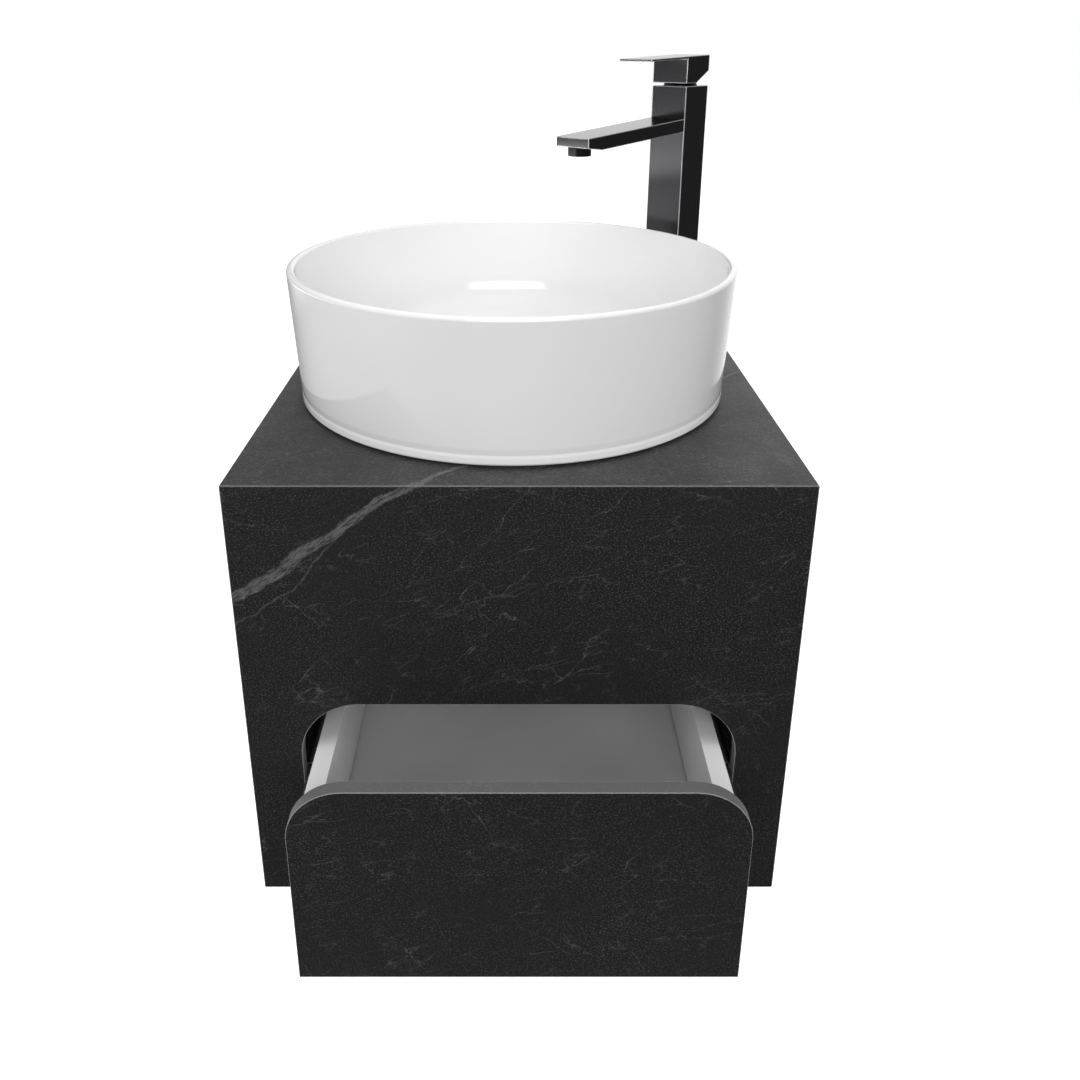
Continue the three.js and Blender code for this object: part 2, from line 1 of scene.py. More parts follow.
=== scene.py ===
"""Looks of a wall-hung vanity: stone-faced boards, a vessel basin, a tall lever mixer and one drawer.

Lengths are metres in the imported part's own frame: +X to the right, +Y into the wall, +Z up. Outlines and small
sizes are written in millimetres and converted by `mm`.
"""

import logging
import math
from collections.abc import Callable, Iterator, Sequence
from contextlib import contextmanager
from dataclasses import dataclass
from enum import Enum

import bmesh
import bpy
from mathutils import Matrix, Vector


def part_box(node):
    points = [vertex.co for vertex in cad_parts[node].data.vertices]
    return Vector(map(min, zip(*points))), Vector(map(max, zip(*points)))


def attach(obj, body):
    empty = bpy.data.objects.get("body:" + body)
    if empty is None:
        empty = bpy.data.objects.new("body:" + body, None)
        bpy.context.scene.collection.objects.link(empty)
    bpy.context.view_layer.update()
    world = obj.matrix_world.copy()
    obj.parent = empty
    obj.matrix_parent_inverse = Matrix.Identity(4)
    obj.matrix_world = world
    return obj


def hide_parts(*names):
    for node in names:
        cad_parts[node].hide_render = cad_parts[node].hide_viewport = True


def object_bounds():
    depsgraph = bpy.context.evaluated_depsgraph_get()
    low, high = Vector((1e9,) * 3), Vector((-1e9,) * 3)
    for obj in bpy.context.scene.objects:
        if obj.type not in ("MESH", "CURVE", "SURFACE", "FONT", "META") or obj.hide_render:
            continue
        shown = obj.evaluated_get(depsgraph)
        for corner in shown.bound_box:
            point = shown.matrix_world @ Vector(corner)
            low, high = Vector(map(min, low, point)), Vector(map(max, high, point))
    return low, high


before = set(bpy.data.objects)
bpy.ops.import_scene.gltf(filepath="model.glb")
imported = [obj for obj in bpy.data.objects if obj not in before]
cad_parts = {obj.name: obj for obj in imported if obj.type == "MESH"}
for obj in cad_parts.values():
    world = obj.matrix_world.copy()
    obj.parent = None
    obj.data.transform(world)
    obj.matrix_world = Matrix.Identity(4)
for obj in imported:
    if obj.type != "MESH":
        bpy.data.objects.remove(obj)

log = logging.getLogger("vanity")

CAD_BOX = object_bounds()

Piece = bpy.types.Object
Test = Callable[[Vector, Vector], bool]
X, Y, Z = Vector((1, 0, 0)), Vector((0, 1, 0)), Vector((0, 0, 1))


def mm(length: float) -> float:
    """Turns millimetres into metres."""
    return length / 1000


def vector_mm(x: float, y: float, z: float) -> Vector:
    """Turns a point in millimetres into a vector in metres."""
    return Vector((mm(x), mm(y), mm(z)))


def middle_of(node: str) -> Vector:
    """The middle of a CAD node's box."""
    low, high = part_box(node)
    return (low + high) / 2


# ---- Modelling with operators ----------------------------------------------------------------------------


class Choose(Enum):
    """What edit mode selects."""

    VERTICES = "VERT"
    EDGES = "EDGE"
    FACES = "FACE"


def start_clean() -> None:
    """Deselects every object, since an operator acts on all that is selected."""
    bpy.ops.object.select_all(action="DESELECT")


def activate(piece: Piece) -> None:
    """Makes one piece the only selected one and the active one.

    Args:
        piece: the piece to work on next.
    """
    start_clean()
    piece.select_set(True)
    bpy.context.view_layer.objects.active = piece


def named(name: str) -> Piece:
    """Names the object that an operator has just added.

    Args:
        name: the piece's name.

    Returns:
        The active object.
    """
    piece = bpy.context.object
    piece.name = name
    piece.data.name = name
    return piece


def add_box(name: str, low: Vector, high: Vector) -> Piece:
    """Adds a cube stretched between two corners.

    Args:
        name: the piece's name.
        low: the lowest corner.
        high: the highest corner.

    Returns:
        The new piece.
    """
    start_clean()
    bpy.ops.mesh.primitive_cube_add(size=1, location=(low + high) / 2, scale=high - low)
    bpy.ops.object.transform_apply(location=True, rotation=True, scale=True)
    return named(name)


def add_rod(name: str, middle: Vector, radius: float, length: float, sides: int = 48) -> Piece:
    """Adds an upright cylinder, or a prism with few sides.

    Args:
        name: the piece's name.
        middle: its middle.
        radius: distance from the axis to a corner.
        length: its height.
        sides: how many sides it has.

    Returns:
        The new piece.
    """
    start_clean()
    bpy.ops.mesh.primitive_cylinder_add(vertices=sides, radius=radius, depth=length, location=middle)
    bpy.ops.object.transform_apply(location=True, rotation=True, scale=True)
    return named(name)


@contextmanager
def editing(piece: Piece, elements: Choose) -> Iterator[None]:
    """Opens a piece in edit mode with nothing selected, and leaves edit mode at the end.

    Args:
        piece: the piece to edit.
        elements: what its selection holds.
    """
    activate(piece)
    bpy.ops.object.mode_set(mode="EDIT")
    bpy.ops.mesh.select_mode(type=elements.value)
    bpy.ops.mesh.select_all(action="DESELECT")
    yield
    bpy.ops.object.mode_set(mode="OBJECT")


def pick(piece: Piece, elements: Choose, test: Test) -> None:
    """Selects elements by place and direction, in edit mode.

    Args:
        piece: the piece that is being edited.
        elements: which elements are looked at.
        test: takes an element's middle and its direction, which is an edge's own or a face's normal.
    """
    mesh = bmesh.from_edit_mesh(piece.data)
    if elements is Choose.EDGES:
        found = [(e, (e.verts[0].co + e.verts[1].co) / 2, (e.verts[1].co - e.verts[0].co).normalized())
                 for e in mesh.edges]
    elif elements is Choose.FACES:
        found = [(f, f.calc_center_median(), f.normal) for f in mesh.faces]
    else:
        found = [(v, v.co, v.normal) for v in mesh.verts]
    for element, middle, direction in found:
        if test(middle, direction):
            element.select_set(True)
    mesh.select_flush_mode()
    bmesh.update_edit_mesh(piece.data)


def trim(piece: Piece, point: Vector, normal: Vector) -> None:
    """Cuts off what lies on a plane's outer side and closes the cut.

    Args:
        piece: the piece to cut.
        point: a point of the plane.
        normal: the plane's normal, pointing to the side that goes.
    """
    with editing(piece, Choose.FACES):
        bpy.ops.mesh.select_all(action="SELECT")
        bpy.ops.mesh.bisect(plane_co=point, plane_no=normal.normalized(), use_fill=True, clear_outer=True)


def modify(piece: Piece, kind: str, **settings: object) -> None:
    """Adds a modifier with its settings and applies it.

    Args:
        piece: the piece to modify.
        kind: Blender's name for the modifier.
        settings: the modifier's properties.
    """
    modifier = piece.modifiers.new(kind.lower(), kind)
    for key, value in settings.items():
        setattr(modifier, key, value)
    activate(piece)
    bpy.ops.object.modifier_apply(modifier=modifier.name)


def cut_out(piece: Piece, *tools: Piece) -> None:
    """Subtracts other pieces from a piece and removes them.

    Args:
        piece: the piece that stays.
        tools: the pieces that are taken away.
    """
    for tool in tools:
        modify(piece, "BOOLEAN", operation="DIFFERENCE", solver="EXACT", object=tool)
        bpy.data.objects.remove(tool)


def soften(piece: Piece, width: float, segments: int = 2, angle: float = 30, finish: int = -1) -> None:
    """Takes the sharp edges off a piece.

    Args:
        piece: the piece to soften.
        width: the bevel's width.
        segments: how many faces the bevel has.
        angle: the least angle between two faces that is softened, in degrees.
        finish: the material slot that the bevel gets, or -1 for its neighbours'.
    """
    modify(piece, "BEVEL", width=width, segments=segments, limit_method="ANGLE",
           angle_limit=math.radians(angle), material=finish)


def smooth(piece: Piece, angle: float = 35) -> None:
    """Shades a piece smooth, apart from its sharp edges, and keeps its large faces flat beside their bevels.

    Args:
        piece: the piece to shade.
        angle: the least angle between two faces that stays sharp, in degrees.
    """
    activate(piece)
    bpy.ops.object.shade_smooth_by_angle(angle=math.radians(angle))
    modify(piece, "WEIGHTED_NORMAL", keep_sharp=True)


def turn_about(piece: Piece, pivot: Vector, angle: float, axis: Vector) -> None:
    """Turns a piece's mesh about an axis through a point.

    Args:
        piece: the piece to turn.
        pivot: a point of the axis.
        angle: the angle in radians.
        axis: the axis.
    """
    activate(piece)
    piece.matrix_world = (
        Matrix.Translation(pivot) @ Matrix.Rotation(angle, 4, axis) @ Matrix.Translation(-pivot)
    )
    bpy.ops.object.transform_apply(location=True, rotation=True, scale=True)


def copy_of(piece: Piece, name: str, shift: Vector) -> Piece:
    """Copies a piece, with a mesh of its own, and moves the copy's mesh.

    Args:
        piece: the piece to copy.
        name: the copy's name.
        shift: how far the copy is moved.

    Returns:
        The copy.
    """
    activate(piece)
    bpy.ops.object.duplicate(linked=False)
    made = named(name)
    made.location = shift
    bpy.ops.object.transform_apply(location=True, rotation=True, scale=True)
    return made


def merge(name: str, pieces: Sequence[Piece]) -> Piece:
    """Joins several pieces into one.

    Args:
        name: the joined piece's name.
        pieces: the pieces.

    Returns:
        The joined piece.
    """
    activate(pieces[0])
    for piece in pieces:
        piece.select_set(True)
    bpy.ops.object.join()
    return named(name)


@dataclass(frozen=True)
class Corner:
    """A corner of a turned outline, in millimetres: distance from the axis, height and rounding."""

    r: float
    z: float
    rounding: float = 0.0


def rounded(corners: Sequence[Corner], closed: bool, steps: int = 5) -> list[tuple[float, float]]:
    """Replaces each rounded corner of an outline by an arc.

    Args:
        corners: the outline's corners, in order.
        closed: whether the last corner joins the first one.
        steps: how many segments an arc has.

    Returns:
        The outline's points, in millimetres.
    """
    points: list[tuple[float, float]] = []
    count = len(corners)
    for i, corner in enumerate(corners):
        at = Vector((corner.r, corner.z))
        is_end = not closed and i in (0, count - 1)
        if corner.rounding == 0 or is_end:
            points.append(tuple(at))
            continue
        before, after = corners[i - 1], corners[(i + 1) % count]
        back = (Vector((before.r, before.z)) - at).normalized()
        ahead = (Vector((after.r, after.z)) - at).normalized()
        half = back.angle(ahead) / 2
        centre = at + (back + ahead).normalized() * (corner.rounding / math.sin(half))
        start = at + back * (corner.rounding / math.tan(half)) - centre
        sweep = start.angle_signed(at + ahead * (corner.rounding / math.tan(half)) - centre)
        for step in range(steps + 1):
            points.append(tuple(centre + Matrix.Rotation(-sweep * step / steps, 2) @ start))
    return points


def spin(name: str, corners: Sequence[Corner], axis: Vector, steps: int = 64, closed: bool = True) -> Piece:
    """Draws an outline vertex by vertex and spins it about an upright axis.

    Args:
        name: the piece's name.
        corners: the outline. An open one starts and ends on the axis.
        axis: a point of the axis. Its height is the outline's zero.
        steps: how many steps the spin has.
        closed: whether the outline closes on itself.

    Returns:
        The new piece, closed and facing outwards.
    """
    outline = rounded(corners, closed)
    if closed:
        outline.append(outline[0])
    points = [axis + vector_mm(r, 0, z) for r, z in outline]
    start_clean()
    bpy.ops.mesh.primitive_plane_add(size=mm(1), location=points[0])
    bpy.ops.object.transform_apply(location=True, rotation=True, scale=True)
    piece = named(name)
    with editing(piece, Choose.VERTICES):
        bpy.ops.mesh.select_all(action="SELECT")
        bpy.ops.mesh.merge(type="CENTER")
        for here, there in zip(points, points[1:]):
            bpy.ops.mesh.extrude_vertices_move(TRANSFORM_OT_translate={"value": there - here})
        bpy.ops.mesh.select_all(action="SELECT")
        bpy.ops.mesh.spin(steps=steps, angle=math.tau, center=axis, axis=Z)
        bpy.ops.mesh.select_all(action="SELECT")
        bpy.ops.mesh.remove_doubles(threshold=mm(0.005))
        bpy.ops.mesh.normals_make_consistent(inside=False)
    return piece


# ---- Finishes --------------------------------------------------------------------------------------------


def linear(colour: str) -> tuple[float, float, float, float]:
    """Turns an sRGB hex colour into linear red, green, blue and alpha."""
    channels = [int(colour[i:i + 2], 16) / 255 for i in (1, 3, 5)]
    return (*(c / 12.92 if c <= 0.04045 else ((c + 0.055) / 1.055) ** 2.4 for c in channels), 1.0)


def add_node(
    tree: bpy.types.NodeTree, kind: str, inputs: dict[str | int, object] | None = None, **settings: object
) -> bpy.types.Node:
    """Adds a node with its settings, values and links.

    Args:
        tree: the node tree.
        kind: the node's type.
        inputs: a value, or the socket it is linked from, for each named or numbered input.
        settings: the node's own properties.

    Returns:
        The new node.
    """
    node = tree.nodes.new(kind)
    for key, value in settings.items():
        setattr(node, key, value)
    for key, value in (inputs or {}).items():
        if isinstance(value, bpy.types.NodeSocket):
            tree.links.new(value, node.inputs[key])
        else:
            node.inputs[key].default_value = value
    return node


@dataclass(frozen=True)
class Finish:
    """A plain finish. Finishes with a pattern extend it."""

    name: str
    colour: str
    roughness: float
    metallic: float = 0.0

    def material(self) -> bpy.types.Material:
        """The finish's material, which is built once."""
        return bpy.data.materials.get(self.name) or self.build()

    def build(self) -> bpy.types.Material:
        """Builds the material: the shader's plain values, then the pattern."""
        material = bpy.data.materials.new(self.name)
        material.use_nodes = True
        tree = material.node_tree
        shader = tree.nodes["Principled BSDF"]
        shader.inputs["Base Color"].default_value = linear(self.colour)
        shader.inputs["Roughness"].default_value = self.roughness
        shader.inputs["Metallic"].default_value = self.metallic
        self.pattern(tree, shader, add_node(tree, "ShaderNodeTexCoord").outputs["Object"])
        return material

    def pattern(self, tree: bpy.types.NodeTree, shader: bpy.types.Node, place: bpy.types.NodeSocket) -> None:
        """Adds the finish's pattern. A plain finish has a faint unevenness of gloss alone.

        Args:
            tree: the material's nodes.
            shader: its shader.
            place: the socket with the object coordinates.
        """
        cloud = add_node(tree, "ShaderNodeTexNoise", {"Vector": place, "Scale": 1 / mm(25), "Detail": 3})
        spread = add_node(tree, "ShaderNodeMapRange", {
            "Value": cloud.outputs["Fac"], "To Min": self.roughness * 0.85, "To Max": self.roughness * 1.15})
        tree.links.new(spread.outputs["Result"], shader.inputs["Roughness"])


@dataclass(frozen=True)
class VeinedStone(Finish):
    """Sintered stone, pressed with a dry matt skin: near black, with clouds, pale specks and hairline veins.

    Each set of hairlines states its slope in degrees, its size, half its width, how rare it is and its
    strength. One wide vein is a sheet through the whole slab, so it runs on over the mitred edges from board to
    board. The real grit is finer than the specks, which are drawn about a millimetre wide so that they show.
    """

    vein: str = "#8a8a8a"
    speck: float = mm(1.15)
    cloud: float = mm(110)
    vein_point: tuple[float, float, float] = (mm(-86.7), mm(-460), mm(52.3))
    vein_normal: tuple[float, float, float] = (0.475, -0.572, -0.668)
    vein_run: tuple[float, float, float] = (-0.815, 0.0, -0.58)
    scratches: tuple[tuple[float, ...], ...] = (
        (37, mm(34), mm(0.2), 0.61, 0.5),
        (-58, mm(46), mm(0.2), 0.61, 0.5),
        (10, mm(19), mm(0.16), 0.55, 0.26),
        (26, mm(11), mm(0.15), 0.57, 0.22),
    )

    def pattern(self, tree: bpy.types.NodeTree, shader: bpy.types.Node, place: bpy.types.NodeSocket) -> None:
        """Adds clouds, specks, hairlines and the wide vein. See Finish.pattern."""
        cloud = add_node(tree, "ShaderNodeTexNoise", {
            "Vector": place, "Scale": 1 / self.cloud, "Detail": 6, "Roughness": 0.62})
        layered = add_node(tree, "ShaderNodeMapping", {"Vector": place, "Scale": (0.75, 0.75, 1)})
        grain = add_node(tree, "ShaderNodeTexNoise", {
            "Vector": layered.outputs["Vector"], "Scale": 1 / self.speck, "Detail": 2, "Roughness": 0.6})
        specks = add_node(tree, "ShaderNodeMapRange", {
            "Value": grain.outputs["Fac"], "From Min": 0.52, "From Max": 0.78, "To Max": 0.5})
        patches = add_node(tree, "ShaderNodeMapRange", {
            "Value": cloud.outputs["Fac"], "From Min": 0.35, "From Max": 0.7, "To Min": 0.3, "To Max": 1.0})
        dusting = self.join(tree, "MULTIPLY", specks.outputs["Result"], patches.outputs["Result"])
        lines = self.hairlines(tree, place)
        wide = self.wide_vein(tree, place)
        pale = self.join(tree, "MAXIMUM", self.join(tree, "MAXIMUM", dusting, lines), wide)
        mixed = add_node(tree, "ShaderNodeMix", {
            0: pale, 6: linear(self.colour), 7: linear(self.vein)}, data_type="RGBA")
        tree.links.new(mixed.outputs[2], shader.inputs["Base Color"])
        dulled = add_node(tree, "ShaderNodeMapRange", {
            "Value": cloud.outputs["Fac"], "From Min": 0.3, "From Max": 0.7,
            "To Min": self.roughness * 1.2, "To Max": self.roughness * 0.85})
        tree.links.new(dulled.outputs["Result"], shader.inputs["Roughness"])
        shader.inputs["Sheen Weight"].default_value = 0.14
        shader.inputs["Sheen Roughness"].default_value = 0.4
        skin = add_node(tree, "ShaderNodeBump", {
            "Height": grain.outputs["Fac"], "Strength": 0.6, "Distance": mm(0.3)})
        tree.links.new(skin.outputs["Normal"], shader.inputs["Normal"])

    def join(self, tree: bpy.types.NodeTree, how: str, first: object, second: object) -> bpy.types.NodeSocket:
        """Joins two values, each a socket or a number, and returns the socket of the result."""
        return add_node(tree, "ShaderNodeMath", {0: first, 1: second}, operation=how).outputs[0]

    def hairlines(self, tree: bpy.types.NodeTree, place: bpy.types.NodeSocket) -> bpy.types.NodeSocket:
        """Thin broken veins: the seams between warped cells, kept only in patches.

        Args:
            tree: the material's nodes.
            place: the socket with the object coordinates.

        Returns:
            The socket with the veins' strength.
        """
        strength: object = 0.0
        for turn, size, half_width, least, most in self.scratches:
            turned = add_node(tree, "ShaderNodeMapping", {
                "Vector": place, "Rotation": (0, math.radians(turn), 0)}, vector_type="POINT")
            stretched = add_node(tree, "ShaderNodeMapping", {
                "Vector": turned.outputs["Vector"], "Scale": (0.3 / size, 1 / size, 1 / size)})
            sway = add_node(tree, "ShaderNodeTexNoise", {
                "Vector": stretched.outputs["Vector"], "Scale": 1.6, "Detail": 5, "Roughness": 0.55})
            swayed = add_node(tree, "ShaderNodeVectorMath", {
                0: sway.outputs["Color"], 1: (0.8, 0.8, 0.8), 2: stretched.outputs["Vector"]},
                operation="MULTIPLY_ADD")
            cells = add_node(tree, "ShaderNodeTexVoronoi", {
                "Vector": swayed.outputs["Vector"], "Scale": 1.0}, feature="DISTANCE_TO_EDGE")
            line = add_node(tree, "ShaderNodeMapRange", {
                "Value": cells.outputs["Distance"], "From Min": 0.0, "From Max": 2 * half_width / size,
                "To Min": most, "To Max": 0.0})
            where = add_node(tree, "ShaderNodeTexNoise", {
                "Vector": place, "Scale": 0.5 / size, "Detail": 4, "Roughness": 0.65})
            kept = add_node(tree, "ShaderNodeMapRange", {
                "Value": where.outputs["Fac"], "From Min": least - 0.06, "From Max": least + 0.08})
            strength = self.join(
                tree, "MAXIMUM", strength, self.join(tree, "MULTIPLY", line.outputs[0], kept.outputs[0]))
        return strength

    def wide_vein(self, tree: bpy.types.NodeTree, place: bpy.types.NodeSocket) -> bpy.types.NodeSocket:
        """The wide vein, which swells along its run, and the thin one that splits off below it.

        Args:
            tree: the material's nodes.
            place: the socket with the object coordinates.

        Returns:
            The socket with the vein's strength.
        """
        from_point = add_node(tree, "ShaderNodeVectorMath", {
            0: place, 1: self.vein_point}, operation="SUBTRACT").outputs[0]
        across, along = (
            add_node(tree, "ShaderNodeVectorMath", {
                0: from_point, 1: way}, operation="DOT_PRODUCT").outputs["Value"]
            for way in (self.vein_normal, self.vein_run))
        for size, amplitude in ((mm(45), mm(14)), (mm(8), mm(4)), (mm(2), mm(1.2))):
            sway = add_node(tree, "ShaderNodeTexNoise", {"Vector": place, "Scale": 1 / size, "Detail": 3})
            moved = self.join(
                tree, "MULTIPLY", self.join(tree, "SUBTRACT", sway.outputs["Fac"], 0.5), amplitude)
            across = self.join(tree, "ADD", across, moved)
        half_width = add_node(tree, "ShaderNodeMapRange", {
            "Value": along, "From Min": mm(-60), "From Max": mm(110), "To Min": mm(1.2), "To Max": mm(4.6)})
        apart = self.join(tree, "DIVIDE", self.join(tree, "ABSOLUTE", across, 0.0), half_width.outputs[0])
        body = add_node(tree, "ShaderNodeMapRange", {
            "Value": apart, "From Min": 0.75, "From Max": 1.05, "To Min": 0.42, "To Max": 0.0})
        turned = add_node(tree, "ShaderNodeMapping", {
            "Vector": place, "Rotation": (0, math.radians(40), 0)}, vector_type="POINT")
        threads = add_node(tree, "ShaderNodeMapping", {
            "Vector": turned.outputs["Vector"], "Scale": (0.16, 1, 1)})
        fray = add_node(tree, "ShaderNodeTexNoise", {
            "Vector": threads.outputs["Vector"], "Scale": 1 / mm(1.6), "Detail": 4, "Roughness": 0.7,
            "Distortion": 0.8})
        frayed = add_node(tree, "ShaderNodeMapRange", {
            "Value": fray.outputs["Fac"], "From Min": 0.42, "From Max": 0.58,
            "To Min": 0.25, "To Max": 1.15})
        split = add_node(tree, "ShaderNodeMapRange", {
            "Value": along, "From Min": mm(55), "From Max": mm(125), "To Max": mm(17)})
        below = self.join(tree, "ABSOLUTE", self.join(tree, "SUBTRACT", across, split.outputs[0]), 0.0)
        thin = add_node(tree, "ShaderNodeMapRange", {
            "Value": below, "From Max": mm(1.1), "To Min": 0.28, "To Max": 0.0})
        both = self.join(tree, "MAXIMUM", body.outputs[0], thin.outputs[0])
        return self.join(tree, "MULTIPLY", both, frayed.outputs[0])


@dataclass(frozen=True)
class Glaze(Finish):
    """Glazed vitreous china: a clear gloss over white clay, with the soft waves of a poured glaze."""

    wave: float = mm(35)

    def pattern(self, tree: bpy.types.NodeTree, shader: bpy.types.Node, place: bpy.types.NodeSocket) -> None:
        """Adds the glaze's waves. See Finish.pattern."""
        slow = add_node(tree, "ShaderNodeTexNoise", {"Vector": place, "Scale": 1 / self.wave, "Detail": 1})
        waves = add_node(tree, "ShaderNodeBump", {
            "Height": slow.outputs["Fac"], "Strength": 0.3, "Distance": mm(0.5)})
        tree.links.new(waves.outputs["Normal"], shader.inputs["Normal"])
        shader.inputs["Coat Weight"].default_value = 0.3
        shader.inputs["Coat Roughness"].default_value = 0.03


@dataclass(frozen=True)
class BrushedMetal(Finish):
    """Metal brushed in one direction under a tinted coating: fine streaks that blur reflections along them.

    The streaks are drawn coarser than a real brush leaves them, so that they show.
    """

    streak: tuple[float, float, float] = (mm(0.35), mm(0.35), mm(60))
    turn: float = 0.0

    def pattern(self, tree: bpy.types.NodeTree, shader: bpy.types.Node, place: bpy.types.NodeSocket) -> None:
        """Adds the brush's streaks. See Finish.pattern."""
        turned = add_node(tree, "ShaderNodeMapping", {
            "Vector": place, "Rotation": (0, 0, -self.turn)}, vector_type="POINT")
        stretched = add_node(tree, "ShaderNodeMapping", {
            "Vector": turned.outputs["Vector"], "Scale": tuple(1 / size for size in self.streak)})
        streaks = add_node(tree, "ShaderNodeTexNoise", {
            "Vector": stretched.outputs["Vector"], "Scale": 1.0, "Detail": 4, "Roughness": 0.6})
        gloss = add_node(tree, "ShaderNodeMapRange", {
            "Value": streaks.outputs["Fac"], "From Min": 0.3, "From Max": 0.7,
            "To Min": self.roughness * 0.88, "To Max": self.roughness * 1.14})
        tree.links.new(gloss.outputs["Result"], shader.inputs["Roughness"])
        relief = add_node(tree, "ShaderNodeBump", {
            "Height": streaks.outputs["Fac"], "Strength": 0.05, "Distance": mm(0.04)})
        tree.links.new(relief.outputs["Normal"], shader.inputs["Normal"])


@dataclass(frozen=True)
class FacedBoard(Finish):
    """White melamine-faced board: a satin skin with the fine pebble of the press plate."""

    pebble: float = mm(1.5)

    def pattern(self, tree: bpy.types.NodeTree, shader: bpy.types.Node, place: bpy.types.NodeSocket) -> None:
        """Adds the pebble and a faint unevenness of the white. See Finish.pattern."""
        fine = add_node(tree, "ShaderNodeTexNoise", {"Vector": place, "Scale": 1 / self.pebble, "Detail": 2})
        skin = add_node(tree, "ShaderNodeBump", {
            "Height": fine.outputs["Fac"], "Strength": 0.2, "Distance": mm(0.05)})
        tree.links.new(skin.outputs["Normal"], shader.inputs["Normal"])
        slow = add_node(tree, "ShaderNodeTexNoise", {"Vector": place, "Scale": 1 / mm(90), "Detail": 2})
        shade = add_node(tree, "ShaderNodeMix", {
            0: slow.outputs["Fac"], 6: linear(self.colour), 7: linear("#dcdcdc")}, data_type="RGBA")
        tree.links.new(shade.outputs[2], shader.inputs["Base Color"])


@dataclass(frozen=True)
class Plywood(Finish):
    """Birch plywood, peeled and glued: flat wavy grain on the faces, thin light and dark plies on the edges."""

    ply: float = mm(1.5)
    thickness_axis: int = 1

    def pattern(self, tree: bpy.types.NodeTree, shader: bpy.types.Node, place: bpy.types.NodeSocket) -> None:
        """Adds the grain and the plies. See Finish.pattern."""
        stretch = add_node(tree, "ShaderNodeMapping", {"Vector": place, "Scale": (3, 25, 25)})
        grain = add_node(tree, "ShaderNodeTexNoise", {
            "Vector": stretch.outputs["Vector"], "Scale": 3.0, "Detail": 6, "Distortion": 1.2})
        faces = add_node(tree, "ShaderNodeMix", {
            0: grain.outputs["Fac"], 6: linear(self.colour), 7: linear("#8f6f45")}, data_type="RGBA")
        apart = add_node(tree, "ShaderNodeSeparateXYZ", {"Vector": place})
        depth = add_node(tree, "ShaderNodeMath", {
            0: apart.outputs[self.thickness_axis], 1: 2 * self.ply}, operation="PINGPONG")
        stripe = add_node(tree, "ShaderNodeMapRange", {
            "Value": depth.outputs[0], "From Min": 0.8 * self.ply, "From Max": 1.2 * self.ply})
        edges = add_node(tree, "ShaderNodeMix", {
            0: stripe.outputs[0], 6: linear("#c4a578"), 7: linear("#7d5c36")}, data_type="RGBA")
        normal = add_node(tree, "ShaderNodeSeparateXYZ", {
            "Vector": add_node(tree, "ShaderNodeTexCoord").outputs["Normal"]})
        facing = add_node(tree, "ShaderNodeMath", {
            0: normal.outputs[self.thickness_axis]}, operation="ABSOLUTE")
        is_face = add_node(tree, "ShaderNodeMath", {0: facing.outputs[0], 1: 0.5}, operation="GREATER_THAN")
        wood = add_node(tree, "ShaderNodeMix", {
            0: is_face.outputs[0], 6: edges.outputs[2], 7: faces.outputs[2]}, data_type="RGBA")
        tree.links.new(wood.outputs[2], shader.inputs["Base Color"])
        relief = add_node(tree, "ShaderNodeBump", {
            "Height": grain.outputs["Fac"], "Strength": 0.2, "Distance": mm(0.2)})
        tree.links.new(relief.outputs["Normal"], shader.inputs["Normal"])


@dataclass(frozen=True)
class Grained(Finish):
    """Moulded rubber or plastic: the fine even grain of its mould."""

    grain: float = mm(0.8)

    def pattern(self, tree: bpy.types.NodeTree, shader: bpy.types.Node, place: bpy.types.NodeSocket) -> None:
        """Adds the mould's grain. See Finish.pattern."""
        fine = add_node(tree, "ShaderNodeTexNoise", {"Vector": place, "Scale": 1 / self.grain, "Detail": 2})
        skin = add_node(tree, "ShaderNodeBump", {
            "Height": fine.outputs["Fac"], "Strength": 0.3, "Distance": mm(0.05)})
        tree.links.new(skin.outputs["Normal"], shader.inputs["Normal"])


@dataclass(frozen=True)
class ZincPlate(Finish):
    """Zinc-plated pressed steel: a grey metal with pale and dark crystal patches."""

    crystal: float = mm(7)

    def pattern(self, tree: bpy.types.NodeTree, shader: bpy.types.Node, place: bpy.types.NodeSocket) -> None:
        """Adds the crystals. See Finish.pattern."""
        cells = add_node(tree, "ShaderNodeTexVoronoi", {"Vector": place, "Scale": 1 / self.crystal})
        shade = add_node(tree, "ShaderNodeMapRange", {
            "Value": cells.outputs["Color"], "To Min": self.roughness * 0.8, "To Max": self.roughness * 1.3})
        tree.links.new(shade.outputs["Result"], shader.inputs["Roughness"])
        tone = add_node(tree, "ShaderNodeMix", {
            0: cells.outputs["Color"], 6: linear(self.colour), 7: linear("#a3a6aa")}, data_type="RGBA")
        tree.links.new(tone.outputs[2], shader.inputs["Base Color"])


MIXER_TURN = math.radians(-42)

# Sintered stone with its pressed skin: near black and matt, with a dry shimmer at low angles.
STONE = VeinedStone("sintered_stone_matt", "#0d0d0e", 0.5)
# The same stone, pale, on the bevel along each arris: a painted highlight, the thin light line that the edge
# catches.
STONE_PAINTED_HIGHLIGHT = VeinedStone("sintered_stone_ground_arris", "#8c8c8c", 0.5)
# The same stone on the sawn edge faces of the front boards: a flat mid grey, lighter than the skin.
STONE_EDGE = VeinedStone("sintered_stone_sawn_edge", "#606061", 0.6)
# Pressed melamine board: an even white with a satin gloss.
MELAMINE = FacedBoard("melamine_board_white", "#ececec", 0.42)
# Sanded birch plywood: pale tan, with its plies in stripes along the edges.
PLYWOOD_FLAT = Plywood("birch_plywood_rail", "#b99a6d", 0.6)
# A softwood batten in a flat black: painted shade, so that it vanishes in the dark gap beside the drawer.
BATTEN_PAINTED_SHADE = Grained("softwood_batten_painted_shade", "#0e0e0f", 0.75)
# Bare chipboard in a sawn groove, near black: partly the core's own brown, partly painted shade, so that it reads
# as the dark shadow line.
GROOVE_CORE_AND_SHADE = Grained("chipboard_core_and_painted_shade", "#2c2620", 0.85)
